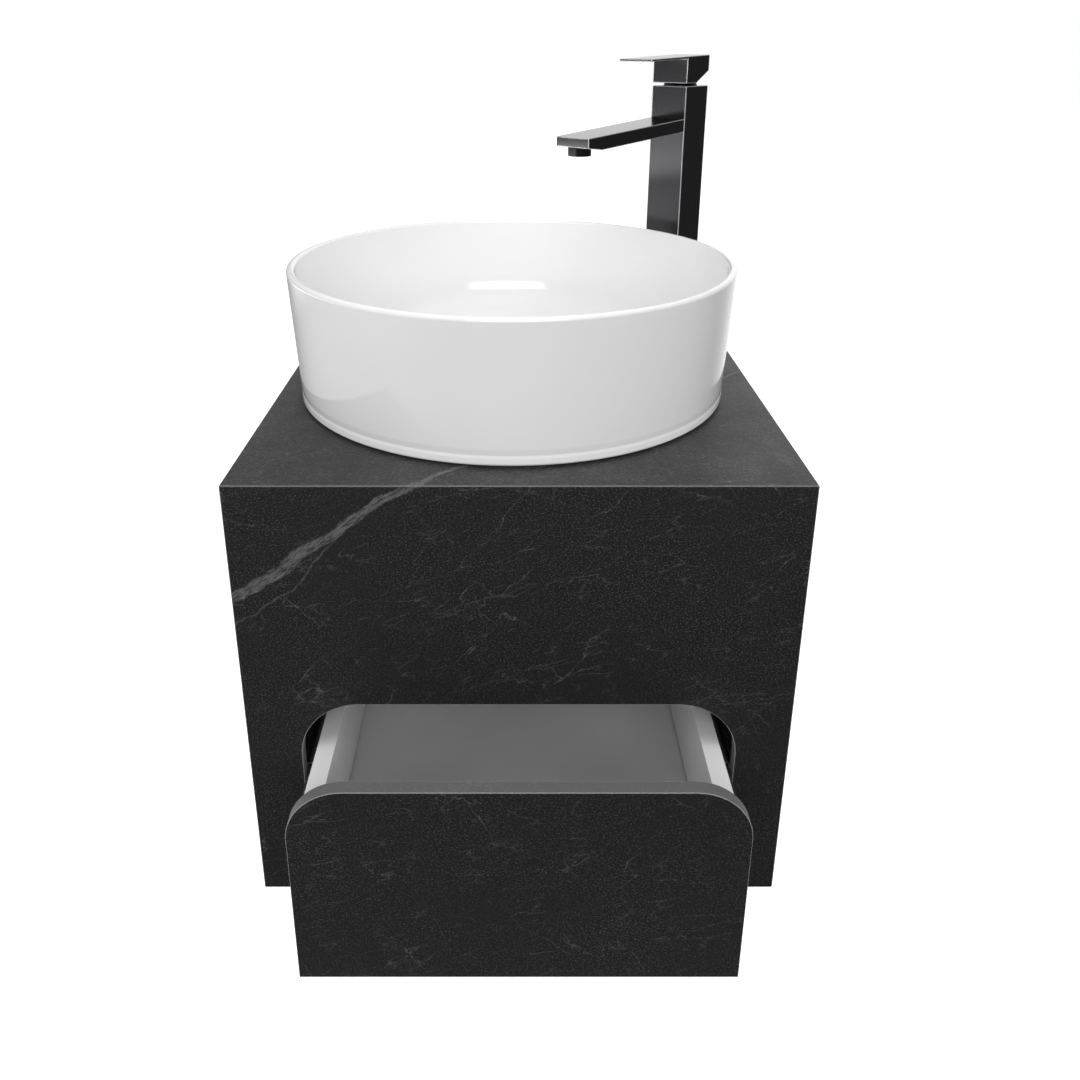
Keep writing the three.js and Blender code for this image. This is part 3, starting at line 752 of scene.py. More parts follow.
# Dipped and fired glaze: a clean white with clear, slightly wavy reflections.
CHINA = Glaze("vitreous_china_glazed", "#efefef", 0.07)
# Gunmetal coating over brass brushed upright: dark grey, its reflections drawn out along the brush.
GUNMETAL = BrushedMetal("brushed_gunmetal_upright", "#5e5e60", 0.19, 1.0)
# The same coating, brushed along the spout and the lever.
GUNMETAL_LEVER = BrushedMetal(
    "brushed_gunmetal_lengthwise", "#5e5e60", 0.19, 1.0, (mm(0.35), mm(60), mm(0.35)), MIXER_TURN)
# The same coating on a turned ring: darker and glossier.
GUNMETAL_TURNED = BrushedMetal("turned_gunmetal", "#4c4c4e", 0.1, 1.0)
# A painted highlight on the coating's arrises: a pale metal on every bevel, for the light line that each edge
# catches.
GUNMETAL_PAINTED_HIGHLIGHT = Finish("gunmetal_arris_painted_highlight", "#eeeef0", 0.55, 1.0)
# Zinc-plated pressed steel: grey with pale and dark patches.
ZINC = ZincPlate("zinc_plated_steel", "#c3c6ca", 0.36, 1.0)
# Polished chrome plate: a mirror.
CHROME = Finish("chrome_plate_polished", "#e3e5e8", 0.06, 1.0)
# Brass straight from the lathe: yellow, with a soft gloss.
BRASS = Finish("machined_brass", "#b8954e", 0.28, 1.0)
# Moulded rubber: black and dull.
RUBBER = Grained("moulded_rubber_black", "#1a1a1a", 0.8)
# A tooled silicone bead, black with a slight sheen: a real seal whose black also serves as painted shadow, the
# dark contact line under the basin's foot.
SILICONE_AND_SHADOW = Grained("silicone_bead_dark", "#0c0c0c", 0.45)
# Moulded acetal: off-white and waxy.
WHITE_PLASTIC = Grained("moulded_acetal_white", "#e8e8e8", 0.4)
# Moulded ABS: black, with a fine grain.
BLACK_PLASTIC = Grained("moulded_abs_black", "#161617", 0.45)


class Body(Enum):
    """The part's bodies that new pieces ride."""

    CABINET = "cabinet"
    SLIDE_MIDDLES = "slide_middles"
    DRAWER = "drawer"
    PLUG = "plug"
    HANDLE = "handle"


def hand_over(
    piece: Piece, body: Body, replaced: Sequence[str] = (), finishes: Sequence[Finish] = ()
) -> None:
    """Gives a finished piece its finishes, its body and the CAD nodes that it stands for.

    Args:
        piece: the piece, whose mesh is final.
        body: the body that it moves with.
        replaced: the CAD nodes that it replaces.
        finishes: its finishes, in the order of its material slots. None for a piece that has them already.
    """
    for finish in finishes:
        piece.data.materials.append(finish.material())
    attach(piece, body.value)
    if replaced:
        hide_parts(*replaced)
    log.info("%s: %d faces on %s", piece.name, len(piece.data.polygons), body.value)


# ---- Cabinet ---------------------------------------------------------------------------------------------


class Side(Enum):
    """Left or right of the centre line."""

    LEFT = -1
    RIGHT = 1

    @property
    def label(self) -> str:
        """The side's name as the nodes spell it."""
        return self.name.lower()


def grind(piece: Piece, arris: float) -> None:
    """Gives a stone-faced board its finishes: the skin, the ground edges of its openings, and softened arrises in
    a pale stone, a painted highlight.

    Args:
        piece: the board.
        arris: the arris bevel's width.
    """
    for finish in (STONE, STONE_PAINTED_HIGHLIGHT, STONE_EDGE):
        piece.data.materials.append(finish.material())
    low, high = (Vector(piece.bound_box[i]) for i in (0, 6))
    is_front = high.y - low.y < mm(13)
    with editing(piece, Choose.FACES):
        pick(piece, Choose.FACES, lambda middle, normal: is_front and abs(normal.y) < 0.1)
        piece.active_material_index = 2
        bpy.ops.object.material_slot_assign()
    # The arris bevels take slot 1, the pale stone: a painted highlight.
    soften(piece, arris, segments=2, finish=1)
    smooth(piece, 25)


@dataclass
class Boards:
    """The five stone-faced boards of the cabinet, mitred where they meet at an outer edge."""

    thickness: float = mm(12)
    reveal: float = mm(0.12)
    arris: float = mm(0.55)
    arch_radius: float = mm(50)
    arch_steps: int = 24
    shank_hole: float = mm(17.5)
    waste_hole: float = mm(23)

    def build(self) -> None:
        """Builds the five boards."""
        low, high = CAD_BOX
        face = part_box("front_panel")[0]
        self.corner_low = Vector((low.x, face.y, face.z))
        self.corner_high = Vector((high.x, 0.0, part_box("counter_top")[1].z))
        self.counter()
        self.front()
        for side in Side:
            self.side(side)
        self.floor()

    def mitre(self, piece: Piece, corner: Vector, normal: Vector) -> None:
        """Cuts a board's edge at 45 degrees through an outer edge of the cabinet.

        Args:
            piece: the board.
            corner: a point of the outer edge.
            normal: the cut's normal, pointing out of the board.
        """
        way = normal.normalized()
        trim(piece, corner - way * self.reveal, way)

    def finish(self, piece: Piece, node: str) -> None:
        """Grinds a board's arrises and hands it over in place of its node."""
        grind(piece, self.arris)
        hand_over(piece, Body.CABINET, [node])

    def counter(self) -> None:
        """The counter, with the holes for the waste and the mixer's shank."""
        low, high = self.corner_low, self.corner_high
        piece = add_box("counter_board", Vector((low.x, low.y, high.z - self.thickness)), high)
        self.mitre(piece, Vector((low.x, 0, high.z)), -X - Z)
        self.mitre(piece, Vector((high.x, 0, high.z)), X - Z)
        self.mitre(piece, Vector((0, low.y, high.z)), -Y - Z)
        grind(piece, self.arris)
        depth = 4 * self.thickness
        waste, shank = middle_of("waste_body"), middle_of("mixer_shank")
        cut_out(
            piece,
            add_rod("waste_hole", Vector((waste.x, waste.y, high.z)), self.waste_hole, depth),
            add_rod("shank_hole", Vector((shank.x, shank.y, high.z)), self.shank_hole, depth),
        )
        smooth(piece, 25)
        hand_over(piece, Body.CABINET, ["counter_top"])

    def front(self) -> None:
        """The front board with its arched opening."""
        low, high = self.corner_low, self.corner_high
        piece = add_box("front_board", low, Vector((high.x, low.y + self.thickness, high.z)))
        self.mitre(piece, Vector((low.x, low.y, 0)), -X + Y)
        self.mitre(piece, Vector((high.x, low.y, 0)), X + Y)
        self.mitre(piece, Vector((0, low.y, high.z)), Y + Z)
        opening_low, opening_high = self.opening()
        reach = Vector((0, 2 * self.thickness, 0))
        below = Vector((0, 0, mm(5)))
        arch = add_box("arch", opening_low - reach - below, opening_high + reach)
        round_top(arch, self.arch_radius, self.arch_steps)
        cut_out(piece, arch)
        self.finish(piece, "front_panel")

    def opening(self) -> tuple[Vector, Vector]:
        """The corners of the arched opening, from the room that it leaves round the drawer's box."""
        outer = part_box("slide_outer_right")[1].x
        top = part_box("drawer_front")[1].z + mm(10)
        half = outer - mm(0.5)
        return (
            Vector((-half, self.corner_low.y, self.corner_low.z)),
            Vector((half, self.corner_low.y + self.thickness, top)),
        )

    def side(self, side: Side) -> None:
        """A side board.

        Args:
            side: the side that it stands on.
        """
        low, high = self.corner_low, self.corner_high
        outer = high.x if side is Side.RIGHT else low.x
        inner = outer - side.value * self.thickness
        piece = add_box(
            f"{side.label}_board",
            Vector((min(outer, inner), low.y, low.z)),
            Vector((max(outer, inner), 0, high.z)),
        )
        outward = X * side.value
        self.mitre(piece, Vector((outer, low.y, 0)), -outward - Y)
        self.mitre(piece, Vector((outer, 0, high.z)), -outward + Z)
        self.finish(piece, f"{side.label}_side_panel")

    def floor(self) -> None:
        """The bottom board, which stands between the others."""
        low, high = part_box("bottom_panel")
        self.finish(add_box("floor_board", low, high), "bottom_panel")


def round_top(piece: Piece, radius: float, steps: int) -> None:
    """Rounds the two upper edges of a box that run front to back.

    Args:
        piece: the box.
        radius: the rounding's radius.
        steps: how many faces each rounding has.
    """
    top = max(v.co.z for v in piece.data.vertices)
    with editing(piece, Choose.EDGES):
        pick(piece, Choose.EDGES, lambda middle, way: abs(way.y) > 0.9 and abs(middle.z - top) < mm(0.1))
        bpy.ops.mesh.bevel(offset=radius, segments=steps, affect="EDGES")


# ---- Basin -----------------------------------------------------------------------------------------------


@dataclass
class Basin:
    """The round vessel basin and the bead that seals its foot to the counter. Sizes in millimetres."""

    rim: float = 205.8
    foot: float = 200.2
    seat: float = 1.5
    height: float = 123.0
    wall: float = 7.4
    bowl_floor: float = 17.0
    bowl_fillet: float = 45.0
    drain_hole: float = 23.0
    steps: int = 160

    def build(self) -> None:
        """Builds the basin and its bead."""
        self.axis = middle_of("basin")
        self.axis.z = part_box("counter_top")[1].z
        piece = spin("basin_china", self.section(), self.axis, self.steps)
        smooth(piece, 40)
        hand_over(piece, Body.CABINET, ["basin"], [CHINA])
        # The bead's black is the seal's own and also painted shadow along the foot's contact line.
        bead = spin("basin_bead", [
            Corner(self.foot - 14, 0.3), Corner(self.foot - 2.9, 0.3, 0.3),
            Corner(self.foot - 3.2, 1.2, 0.3), Corner(self.foot - 14, 1.2)], self.axis, self.steps)
        smooth(bead, 40)
        hand_over(bead, Body.CABINET, ["basin_seal_ring"], [SILICONE_AND_SHADOW])

    def section(self) -> list[Corner]:
        """The basin's outline: foot, fine shadow groove, outer wall, rim, bowl and drain recess."""
        inner = self.rim - self.wall
        floor = self.bowl_floor
        return [
            Corner(self.drain_hole, self.seat + 2, 0.8),
            Corner(self.foot - 18, self.seat + 2, 1),
            Corner(self.foot - 16, self.seat, 1),
            Corner(self.foot - 0.4, self.seat, 2.4),
            Corner(self.foot - 0.6, self.seat + 6.4, 2.0),
            Corner(self.foot - 1.1, self.seat + 8.8, 3.0),
            Corner(self.foot - 0.4, self.seat + 14, 10),
            Corner(self.rim, self.height, 3.4),
            Corner(inner, self.height, 3.4),
            Corner(inner - 2, floor, self.bowl_fillet),
            Corner(60, floor - 2, 30),
            Corner(36, floor - 4.4, 1.5),
            Corner(34, floor - 6, 0.8),
            Corner(self.drain_hole, floor - 6, 0.8),
        ]


# ---- Fixings ---------------------------------------------------------------------------------------------


def thread(radius: float, start: float, end: float, pitch: float = 1.5, depth: float = 0.55) -> list[Corner]:
    """A thread's ridges along a turned outline, from one height to another.

    Args:
        radius: the crests' distance from the axis, in millimetres.
        start: the height that the outline comes from.
        end: the height that it goes on to.
        pitch: the distance from crest to crest.
        depth: how deep the roots lie.

    Returns:
        The outline's corners.
    """
    count = int(abs(end - start) / pitch)
    step = (end - start) / count
    corners = []
    for i in range(count):
        corners.append(Corner(radius, start + i * step + step * 0.15))
        corners.append(Corner(radius - depth, start + i * step + step * 0.65))
    return corners


def nut(name: str, axis: Vector, radius: float, bore: float, low: float, high: float) -> Piece:
    """A six-sided nut with its corners turned down.

    Args:
        name: the piece's name.
        axis: a point of its axis, whose height is zero.
        radius: distance from the axis to a corner, in millimetres.
        bore: the bore's radius.
        low: the height of its underside.
        high: the height of its top.

    Returns:
        The nut.
    """
    middle = axis + vector_mm(0, 0, (low + high) / 2)
    piece = add_rod(name, middle, mm(radius), mm(high - low), 6)
    cut_out(piece, add_rod("nut_bore", middle, mm(bore), mm(2 * (high - low))))
    soften(piece, mm(0.8), segments=3)
    smooth(piece)
    return piece


def angle_iron(name: str, node: str, sheet: float, open_to: Vector) -> Piece:
    """A pressed angle bracket that fills a CAD node's box.

    Args:
        name: the piece's name.
        node: the node that it stands for.
        sheet: the sheet's thickness in millimetres.
        open_to: the signs of the two directions in which the angle is open.

    Returns:
        The bracket.
    """
    low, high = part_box(node)
    piece = add_box(name, low, high)
    way = open_to * mm(sheet)
    reach = Vector([mm(5) if sign == 0 else 0.0 for sign in open_to])
    cut_out(piece, add_box("inside", low + way - reach, high + way + reach))
    soften(piece, mm(0.5), segments=3)
    smooth(piece)
    return piece


@dataclass
class Screws:
    """Pan-head screws with a cross recess, modelled once and copied to each place. Sizes in millimetres."""

    radius: float = 3.6
    height: float = 1.9
    slot_width: float = 0.9
    slot_length: float = 3.8

    def model(self) -> Piece:
        """One screw head at the origin, facing up."""
        piece = add_rod("screw_model", vector_mm(0, 0, self.height / 2), mm(self.radius), mm(self.height), 32)
        with editing(piece, Choose.EDGES):
            pick(piece, Choose.EDGES,
                 lambda middle, way: abs(way.z) < 0.1 and middle.z > mm(self.height - 0.1))
            bpy.ops.mesh.bevel(offset=mm(1.1), segments=4, affect="EDGES")
        for wide, long in ((self.slot_width, self.slot_length), (self.slot_length, self.slot_width)):
            half = vector_mm(wide / 2, long / 2, 0)
            cut_out(piece, add_box("slot", vector_mm(0, 0, 0.8) - half, vector_mm(0, 0, 3) + half))
        smooth(piece)
        return piece

    def place(self, name: str, body: Body, places: Sequence[tuple[Vector, Vector]]) -> None:
        """Copies the screw to each place and joins the copies.

        Args:
            name: the joined piece's name.
            body: the body that the screws move with.
            places: where each head sits, and the way that it faces.
        """
        model = self.model()
        copies = []
        for i, (seat, way) in enumerate(places):
            copied = copy_of(model, f"{name}_{i}", Vector((0, 0, 0)))
            turn = Z.rotation_difference(way)
            turn_about(copied, Vector((0, 0, 0)), turn.angle, turn.axis)
            copied.location = seat
            activate(copied)
            bpy.ops.object.transform_apply(location=True, rotation=True, scale=True)
            copies.append(copied)
        bpy.data.objects.remove(model)
        hand_over(merge(name, copies), body, finishes=[ZINC])


@dataclass
class Carcass:
    """What holds the boards together and to the wall: rails, battens, angles and their screws."""

    arris: float = mm(0.8)

    def build(self) -> None:
        """Builds the rails, battens, angles and screws."""
        for node in ("hanging_rail", "lower_back_rail"):
            self.timber(node, PLYWOOD_FLAT)
        # The slide packers are painted black: painted shade in the gap beside the drawer.
        for side in Side:
            self.timber(f"slide_packer_{side.label}", BATTEN_PAINTED_SHADE)
        places = []
        for side in Side:
            inward = -side.value
            hanger = f"wall_hanger_{side.label}"
            piece = angle_iron(f"hanger_angle_{side.label}", hanger, 2.5, Vector((inward, -1, 0)))
            hand_over(piece, Body.CABINET, [hanger], [ZINC])
            places += self.leg_screws(hanger, 2.5, X * inward, -Y, Z)
            bracket = f"counter_bracket_{side.label}"
            piece = angle_iron(f"counter_angle_{side.label}", bracket, 2, Vector((inward, 0, -1)))
            hand_over(piece, Body.CABINET, [bracket], [ZINC])
            places += self.leg_screws(bracket, 2, X * inward, -Z, Y)
        Screws().place("carcass_screws", Body.CABINET, places)

    def timber(self, node: str, finish: Finish) -> None:
        """A sawn piece with its arrises sanded.

        Args:
            node: the CAD node that it stands for.
            finish: its material.
        """
        low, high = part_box(node)
        piece = add_box(f"{node}_timber", low, high)
        soften(piece, self.arris, segments=3)
        smooth(piece)
        hand_over(piece, Body.CABINET, [node], [finish])

    def leg_screws(
        self, node: str, sheet: float, first: Vector, second: Vector, run: Vector
    ) -> list[tuple[Vector, Vector]]:
        """Two screws in each leg of an angle.

        Args:
            node: the angle's node.
            sheet: its thickness in millimetres.
            first: the way that one leg faces.
            second: the way that the other leg faces.
            run: the direction of the bend.

        Returns:
            Each screw's seat, and the way that it faces.
        """
        low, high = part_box(node)
        middle, half = (low + high) / 2, (high - low) / 2
        places = []
        for way, across in ((first, second), (second, first)):
            outer = middle - Vector([way[i] * half[i] for i in range(3)])
            seat = outer + way * mm(sheet) + Vector([across[i] * half[i] * 0.25 for i in range(3)])
            for shift in (-0.5, 0.5):
                places.append((seat + Vector([run[i] * half[i] * shift for i in range(3)]), way))
        return places


# ---- Drawer ----------------------------------------------------------------------------------------------


@dataclass
class Drawer:
    """The drawer: a stone-faced front with rounded upper corners on a white box."""

    corner_radius: float = mm(45)
    corner_steps: int = 24
    arris: float = mm(0.55)
    board_arris: float = mm(0.35)
    shadow_line: float = mm(1.6)

    def build(self) -> None:
        """Builds the front, the box, its angles and their screws."""
        self.face()
        for side in Side:
            self.side(side)
        for node, name in (("drawer_bottom", "drawer_floor_board"), ("drawer_back", "drawer_back_board")):
            low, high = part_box(node)
            self.finish_board(add_box(name, low, high), node)
        self.angles()

    def face(self) -> None:
        """The front board."""
        low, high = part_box("drawer_front")
        piece = add_box("drawer_face", low, high)
        round_top(piece, self.corner_radius, self.corner_steps)
        grind(piece, self.arris)
        hand_over(piece, Body.DRAWER, ["drawer_front"])

    def side(self, side: Side) -> None:
        """A side board, grooved for the floor with a shadow line above it.

        Args:
            side: the side that it stands on.
        """
        node = f"drawer_side_{side.label}"
        low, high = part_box(node)
        floor_low, floor_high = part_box("drawer_bottom")
        clear = mm(0.3)
        piece = add_box(f"drawer_{side.label}_board", low, high)
        groove = add_box(
            "groove",
            Vector((floor_low.x - clear, low.y - clear, floor_low.z - clear)),
            Vector((floor_high.x + clear, high.y + clear, floor_high.z + self.shadow_line)),
        )
        piece.data.materials.append(MELAMINE.material())
        piece.data.materials.append(GROOVE_CORE_AND_SHADE.material())
        soften(piece, self.board_arris, segments=3)
        cut_out(piece, groove)
        in_groove = abs(floor_high.x) if side is Side.RIGHT else abs(floor_low.x)
        inner = abs(low.x) if side is Side.RIGHT else abs(high.x)
        # The groove's faces take the dark core finish: the core's brown darkened with painted shade along the
        # shadow line.
        with editing(piece, Choose.FACES):
            pick(piece, Choose.FACES, lambda middle, normal: abs(middle.x) > inner + mm(0.2)
                 and abs(middle.x) < in_groove + mm(0.4) and middle.z > floor_low.z - mm(0.5)
                 and middle.z < floor_high.z + self.shadow_line + mm(0.1) and middle.y > low.y + mm(1))
            piece.active_material_index = 1
            bpy.ops.object.material_slot_assign()
        smooth(piece)
        hand_over(piece, Body.DRAWER, [node])

    def finish_board(self, piece: Piece, node: str) -> None:
        """Softens a white board's edges and hands it over in place of its node.

        Args:
            piece: the board.
            node: the CAD node that it stands for.
        """
        soften(piece, self.board_arris, segments=3)
        smooth(piece)
        hand_over(piece, Body.DRAWER, [node], [MELAMINE])

    def angles(self) -> None:
        """The two angles behind the front, with their screws, and the screws of the slides' inner members."""
        sheet = 2.0
        places = []
        for side in Side:
            inward = -side.value
            node = f"front_bracket_{side.label}"
            piece = angle_iron(f"front_angle_{side.label}", node, sheet, Vector((inward, 1, 0)))
            hand_over(piece, Body.DRAWER, [node], [ZINC])
            places += Carcass().leg_screws(node, sheet, X * inward, Y, Z)
            low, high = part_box(f"slide_inner_{side.label}")
            web = low.x if side is Side.RIGHT else high.x
            height = (low.z + high.z) / 2
            for share in (0.06, 0.36, 0.66, 0.94):
                seat = Vector((web + side.value * mm(1.2), low.y + share * (high.y - low.y), height))
                places.append((seat, X * side.value))
        Screws().place("drawer_screws", Body.DRAWER, places)


@dataclass
class Slides:
    """The drawer's two ball slides: three nested channels on each side. Sizes in millimetres."""

    sheet: float = 1.2
    bend: float = 3.0

    def build(self) -> None:
        """Builds the channels of both slides."""
        for side in Side:
            self.channel("outer", side, Body.CABINET, side.value)
            self.channel("middle", side, Body.SLIDE_MIDDLES, side.value)
            self.channel("inner", side, Body.DRAWER, -side.value)

    def channel(self, member: str, side: Side, body: Body, web: int) -> None:
        """One rolled channel.

        Args:
            member: which of the three it is.
            side: the drawer's side.
            body: the body that it moves with.
            web: the sign of the X direction that its web faces.
        """
        node = f"slide_{member}_{side.label}"
        low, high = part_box(node)
        outer = high.x if web > 0 else low.x
        piece = add_box(f"{member}_channel_{side.label}", low, high)
        with editing(piece, Choose.FACES):
            pick(piece, Choose.FACES, lambda middle, normal: normal.x * web < -0.5 or abs(normal.y) > 0.5)
            bpy.ops.mesh.delete(type="FACE")
        with editing(piece, Choose.EDGES):
            pick(piece, Choose.EDGES,
                 lambda middle, way: abs(way.y) > 0.5 and abs(middle.x - outer) < mm(0.1))
            bpy.ops.mesh.bevel(offset=mm(self.bend), segments=6, affect="EDGES")
        modify(piece, "SOLIDIFY", thickness=mm(self.sheet), offset=-1)
        soften(piece, mm(0.2), segments=2, angle=50)
        smooth(piece)
        hand_over(piece, body, [node], [ZINC])


# ---- Waste and trap --------------------------------------------------------------------------------------


@dataclass
class Waste:
    """The waste in the basin's drain: body, plug and nut. Sizes in millimetres, heights above the counter."""

    bore: float = 17.0
    tube: float = 20.9
    flange: float = 32.0
    seat: float = 13.0

    def build(self) -> None:
        """Builds the waste's body, nut and plug."""
        self.axis = middle_of("waste_body")
        self.axis.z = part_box("counter_top")[1].z
        seat = self.seat
        body = spin("waste_tube", [
            Corner(self.bore, -75, 0.4), Corner(self.tube, -75, 0.4), *thread(self.tube, -73, -28),
            Corner(self.tube, -27), Corner(self.tube, seat), Corner(self.flange, seat, 0.3),
            Corner(self.flange, seat + 1.2, 0.6), Corner(30, seat + 2.5, 1), Corner(19, seat + 1.4, 1),
            Corner(self.bore, seat)], self.axis)
        smooth(body, 40)
        hand_over(body, Body.CABINET, ["waste_body"], [CHROME])
        plug = spin("plug_cap", [
            Corner(0, -24), Corner(4, -24, 0.6), Corner(4, seat + 3.2, 0.5), Corner(27, seat + 3.2, 0.5),
            Corner(29.5, seat + 4, 0.4), Corner(29.5, seat + 5.2, 0.6), Corner(27, seat + 6.4, 3),
            Corner(0, seat + 7.2)], self.axis, closed=False)
        smooth(plug, 40)
        hand_over(plug, Body.PLUG, ["plug"], [CHROME])
        lock = nut("waste_nut", self.axis, 34, 21.3, -27, -16)
        hand_over(lock, Body.CABINET, ["waste_lock_nut"], [BRASS])


def flute(piece: Piece, count: int, depth: float, test: Test) -> None:
    """Presses grip flutes into every other strip of faces round an upright piece.

    Args:
        piece: a spun piece with twice as many steps as flutes.
        count: how many flutes it gets.
        depth: their depth in metres.
        test: says which faces may be fluted.
    """
    points = [v.co for v in piece.data.vertices]
    axis = sum(points, Vector()) / len(points)

    def in_strip(middle: Vector, normal: Vector) -> bool:
        """Whether a face is on an even strip and passes the test."""
        turn = math.atan2(middle.y - axis.y, middle.x - axis.x) / math.tau
        return int((turn % 1) * 2 * count) % 2 == 0 and test(middle, normal)

    with editing(piece, Choose.FACES):
        pick(piece, Choose.FACES, in_strip)
        bpy.ops.mesh.inset(thickness=depth * 0.4, depth=-depth)


@dataclass
class BottleTrap:
    """The bottle trap and its pipe to the wall. Sizes in millimetres, heights above the counter."""

    pipe: float = 16.0
    wall: float = 1.5
    clear: float = 0.4
    outlet: float = -130.0
    flutes: int = 18

    def build(self) -> None:
        """Builds the tail pipe, the trap, the outlet pipe, their nuts and the rosette."""
        self.axis = middle_of("tail_pipe")
        self.axis.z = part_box("counter_top")[1].z
        self.reach = -self.axis.y * 1000
        steps = 4 * self.flutes
        bore, sleeve = self.pipe - self.wall, self.pipe + self.clear
        tail = spin("tail_tube", [
            Corner(bore, -196), Corner(self.pipe, -196), Corner(self.pipe, -77.3, 1),
            Corner(20.4, -77.3, 0.5), Corner(20.4, -75.3, 0.5), Corner(bore, -75.3)], self.axis)
        self.finish(tail, "tail_pipe")
        tail_nut = spin("tail_coupling", [
            Corner(sleeve, -83, 0.4), Corner(26, -83, 1), Corner(27, -81, 0.8), Corner(27, -68, 0.8),
            Corner(26, -66, 1), Corner(21.3, -66, 0.4), Corner(21.3, -78), Corner(sleeve, -78)],
            self.axis, steps)
        flute(tail_nut, self.flutes, mm(0.7), lambda middle, normal: abs(normal.z) < 0.05
              and (middle - self.axis).xy.length > mm(26))
        self.finish(tail_nut, "tail_nut")
        self.head(sleeve)
        cup = spin("trap_bottle", [
            Corner(0, -222), Corner(20, -222, 4), Corner(26, -215, 4), Corner(26, -166, 1.5),
            Corner(31, -166, 1), Corner(31, -153, 1), Corner(24.6, -153, 0.4), Corner(24.6, -142, 0.4),
            Corner(22.2, -142, 0.4), Corner(22.2, -213, 4), Corner(18, -218, 3), Corner(0, -218)],
            self.axis, steps, closed=False)
        flute(cup, self.flutes, mm(0.7), lambda middle, normal: abs(normal.z) < 0.05
              and (middle - self.axis).xy.length > mm(30))
        self.finish(cup, "trap_cup")
        self.outlet_run(bore, sleeve, steps)

    def head(self, sleeve: float) -> None:
        """The trap's head, with the sleeve for the tail pipe and the branch towards the wall.

        Args:
            sleeve: the radius of the holes that the pipes pass, in millimetres.
        """
        head = spin("trap_cap", [
            Corner(sleeve, -108, 0.4), Corner(20, -108, 1.5), Corner(28, -116, 4), Corner(28, -152, 0.8),
            Corner(25, -152), Corner(25, -118), Corner(sleeve, -118)], self.axis)
        pivot = self.axis + vector_mm(0, 0, self.outlet)
        branch = add_rod("branch", pivot + vector_mm(0, 0, 37.5), mm(19.5), mm(25))
        hollow = add_rod("branch_bore", pivot + vector_mm(0, 0, 30), mm(sleeve), mm(60))
        for tool in (branch, hollow):
            turn_about(tool, pivot, math.radians(-90), X)
        modify(head, "BOOLEAN", operation="UNION", solver="EXACT", object=branch)
        bpy.data.objects.remove(branch)
        cut_out(head, hollow)
        self.finish(head, "trap_head")

    def outlet_run(self, bore: float, sleeve: float, steps: int) -> None:
        """The coupling, pipe and rosette between the trap and the wall.

        Args:
            bore: the pipe's inner radius.
            sleeve: the radius of the holes that it passes.
            steps: how many steps a fluted piece is spun in.
        """
        pivot = self.axis + vector_mm(0, 0, self.outlet)
        coupling = spin("outlet_coupling", [
            Corner(sleeve, 52), Corner(sleeve, 64, 0.4), Corner(24, 64, 1), Corner(25, 62, 0.8),
            Corner(25, 42, 0.8), Corner(24, 40, 1), Corner(19.9, 40, 0.4), Corner(19.9, 52)], pivot, steps)
        flute(coupling, self.flutes, mm(0.7), lambda middle, normal: abs(normal.z) < 0.05
              and (middle - pivot).xy.length > mm(24.5))
        pipe = spin("outlet_tube", [
            Corner(bore, 32), Corner(self.pipe, 32), Corner(self.pipe, self.reach), Corner(bore, self.reach)],
            pivot)
        rosette = spin("rosette_shell", [
            Corner(sleeve, self.reach - 9), Corner(18, self.reach - 9, 0.8), Corner(34, self.reach - 2.5, 3),
            Corner(34, self.reach - 0.3), Corner(32.6, self.reach - 0.3), Corner(18, self.reach - 7.6, 1),
            Corner(sleeve, self.reach - 7.6)], pivot)
        for piece, node in ((coupling, "outlet_nut"), (pipe, "outlet_pipe"), (rosette, "wall_rosette")):
            turn_about(piece, pivot, math.radians(-90), X)
            self.finish(piece, node)

    def finish(self, piece: Piece, node: str) -> None:
        """Smooths a chromed piece and hands it over in place of its node."""
        smooth(piece)
        hand_over(piece, Body.CABINET, [node], [CHROME])


# ---- Mixer -----------------------------------------------------------------------------------------------


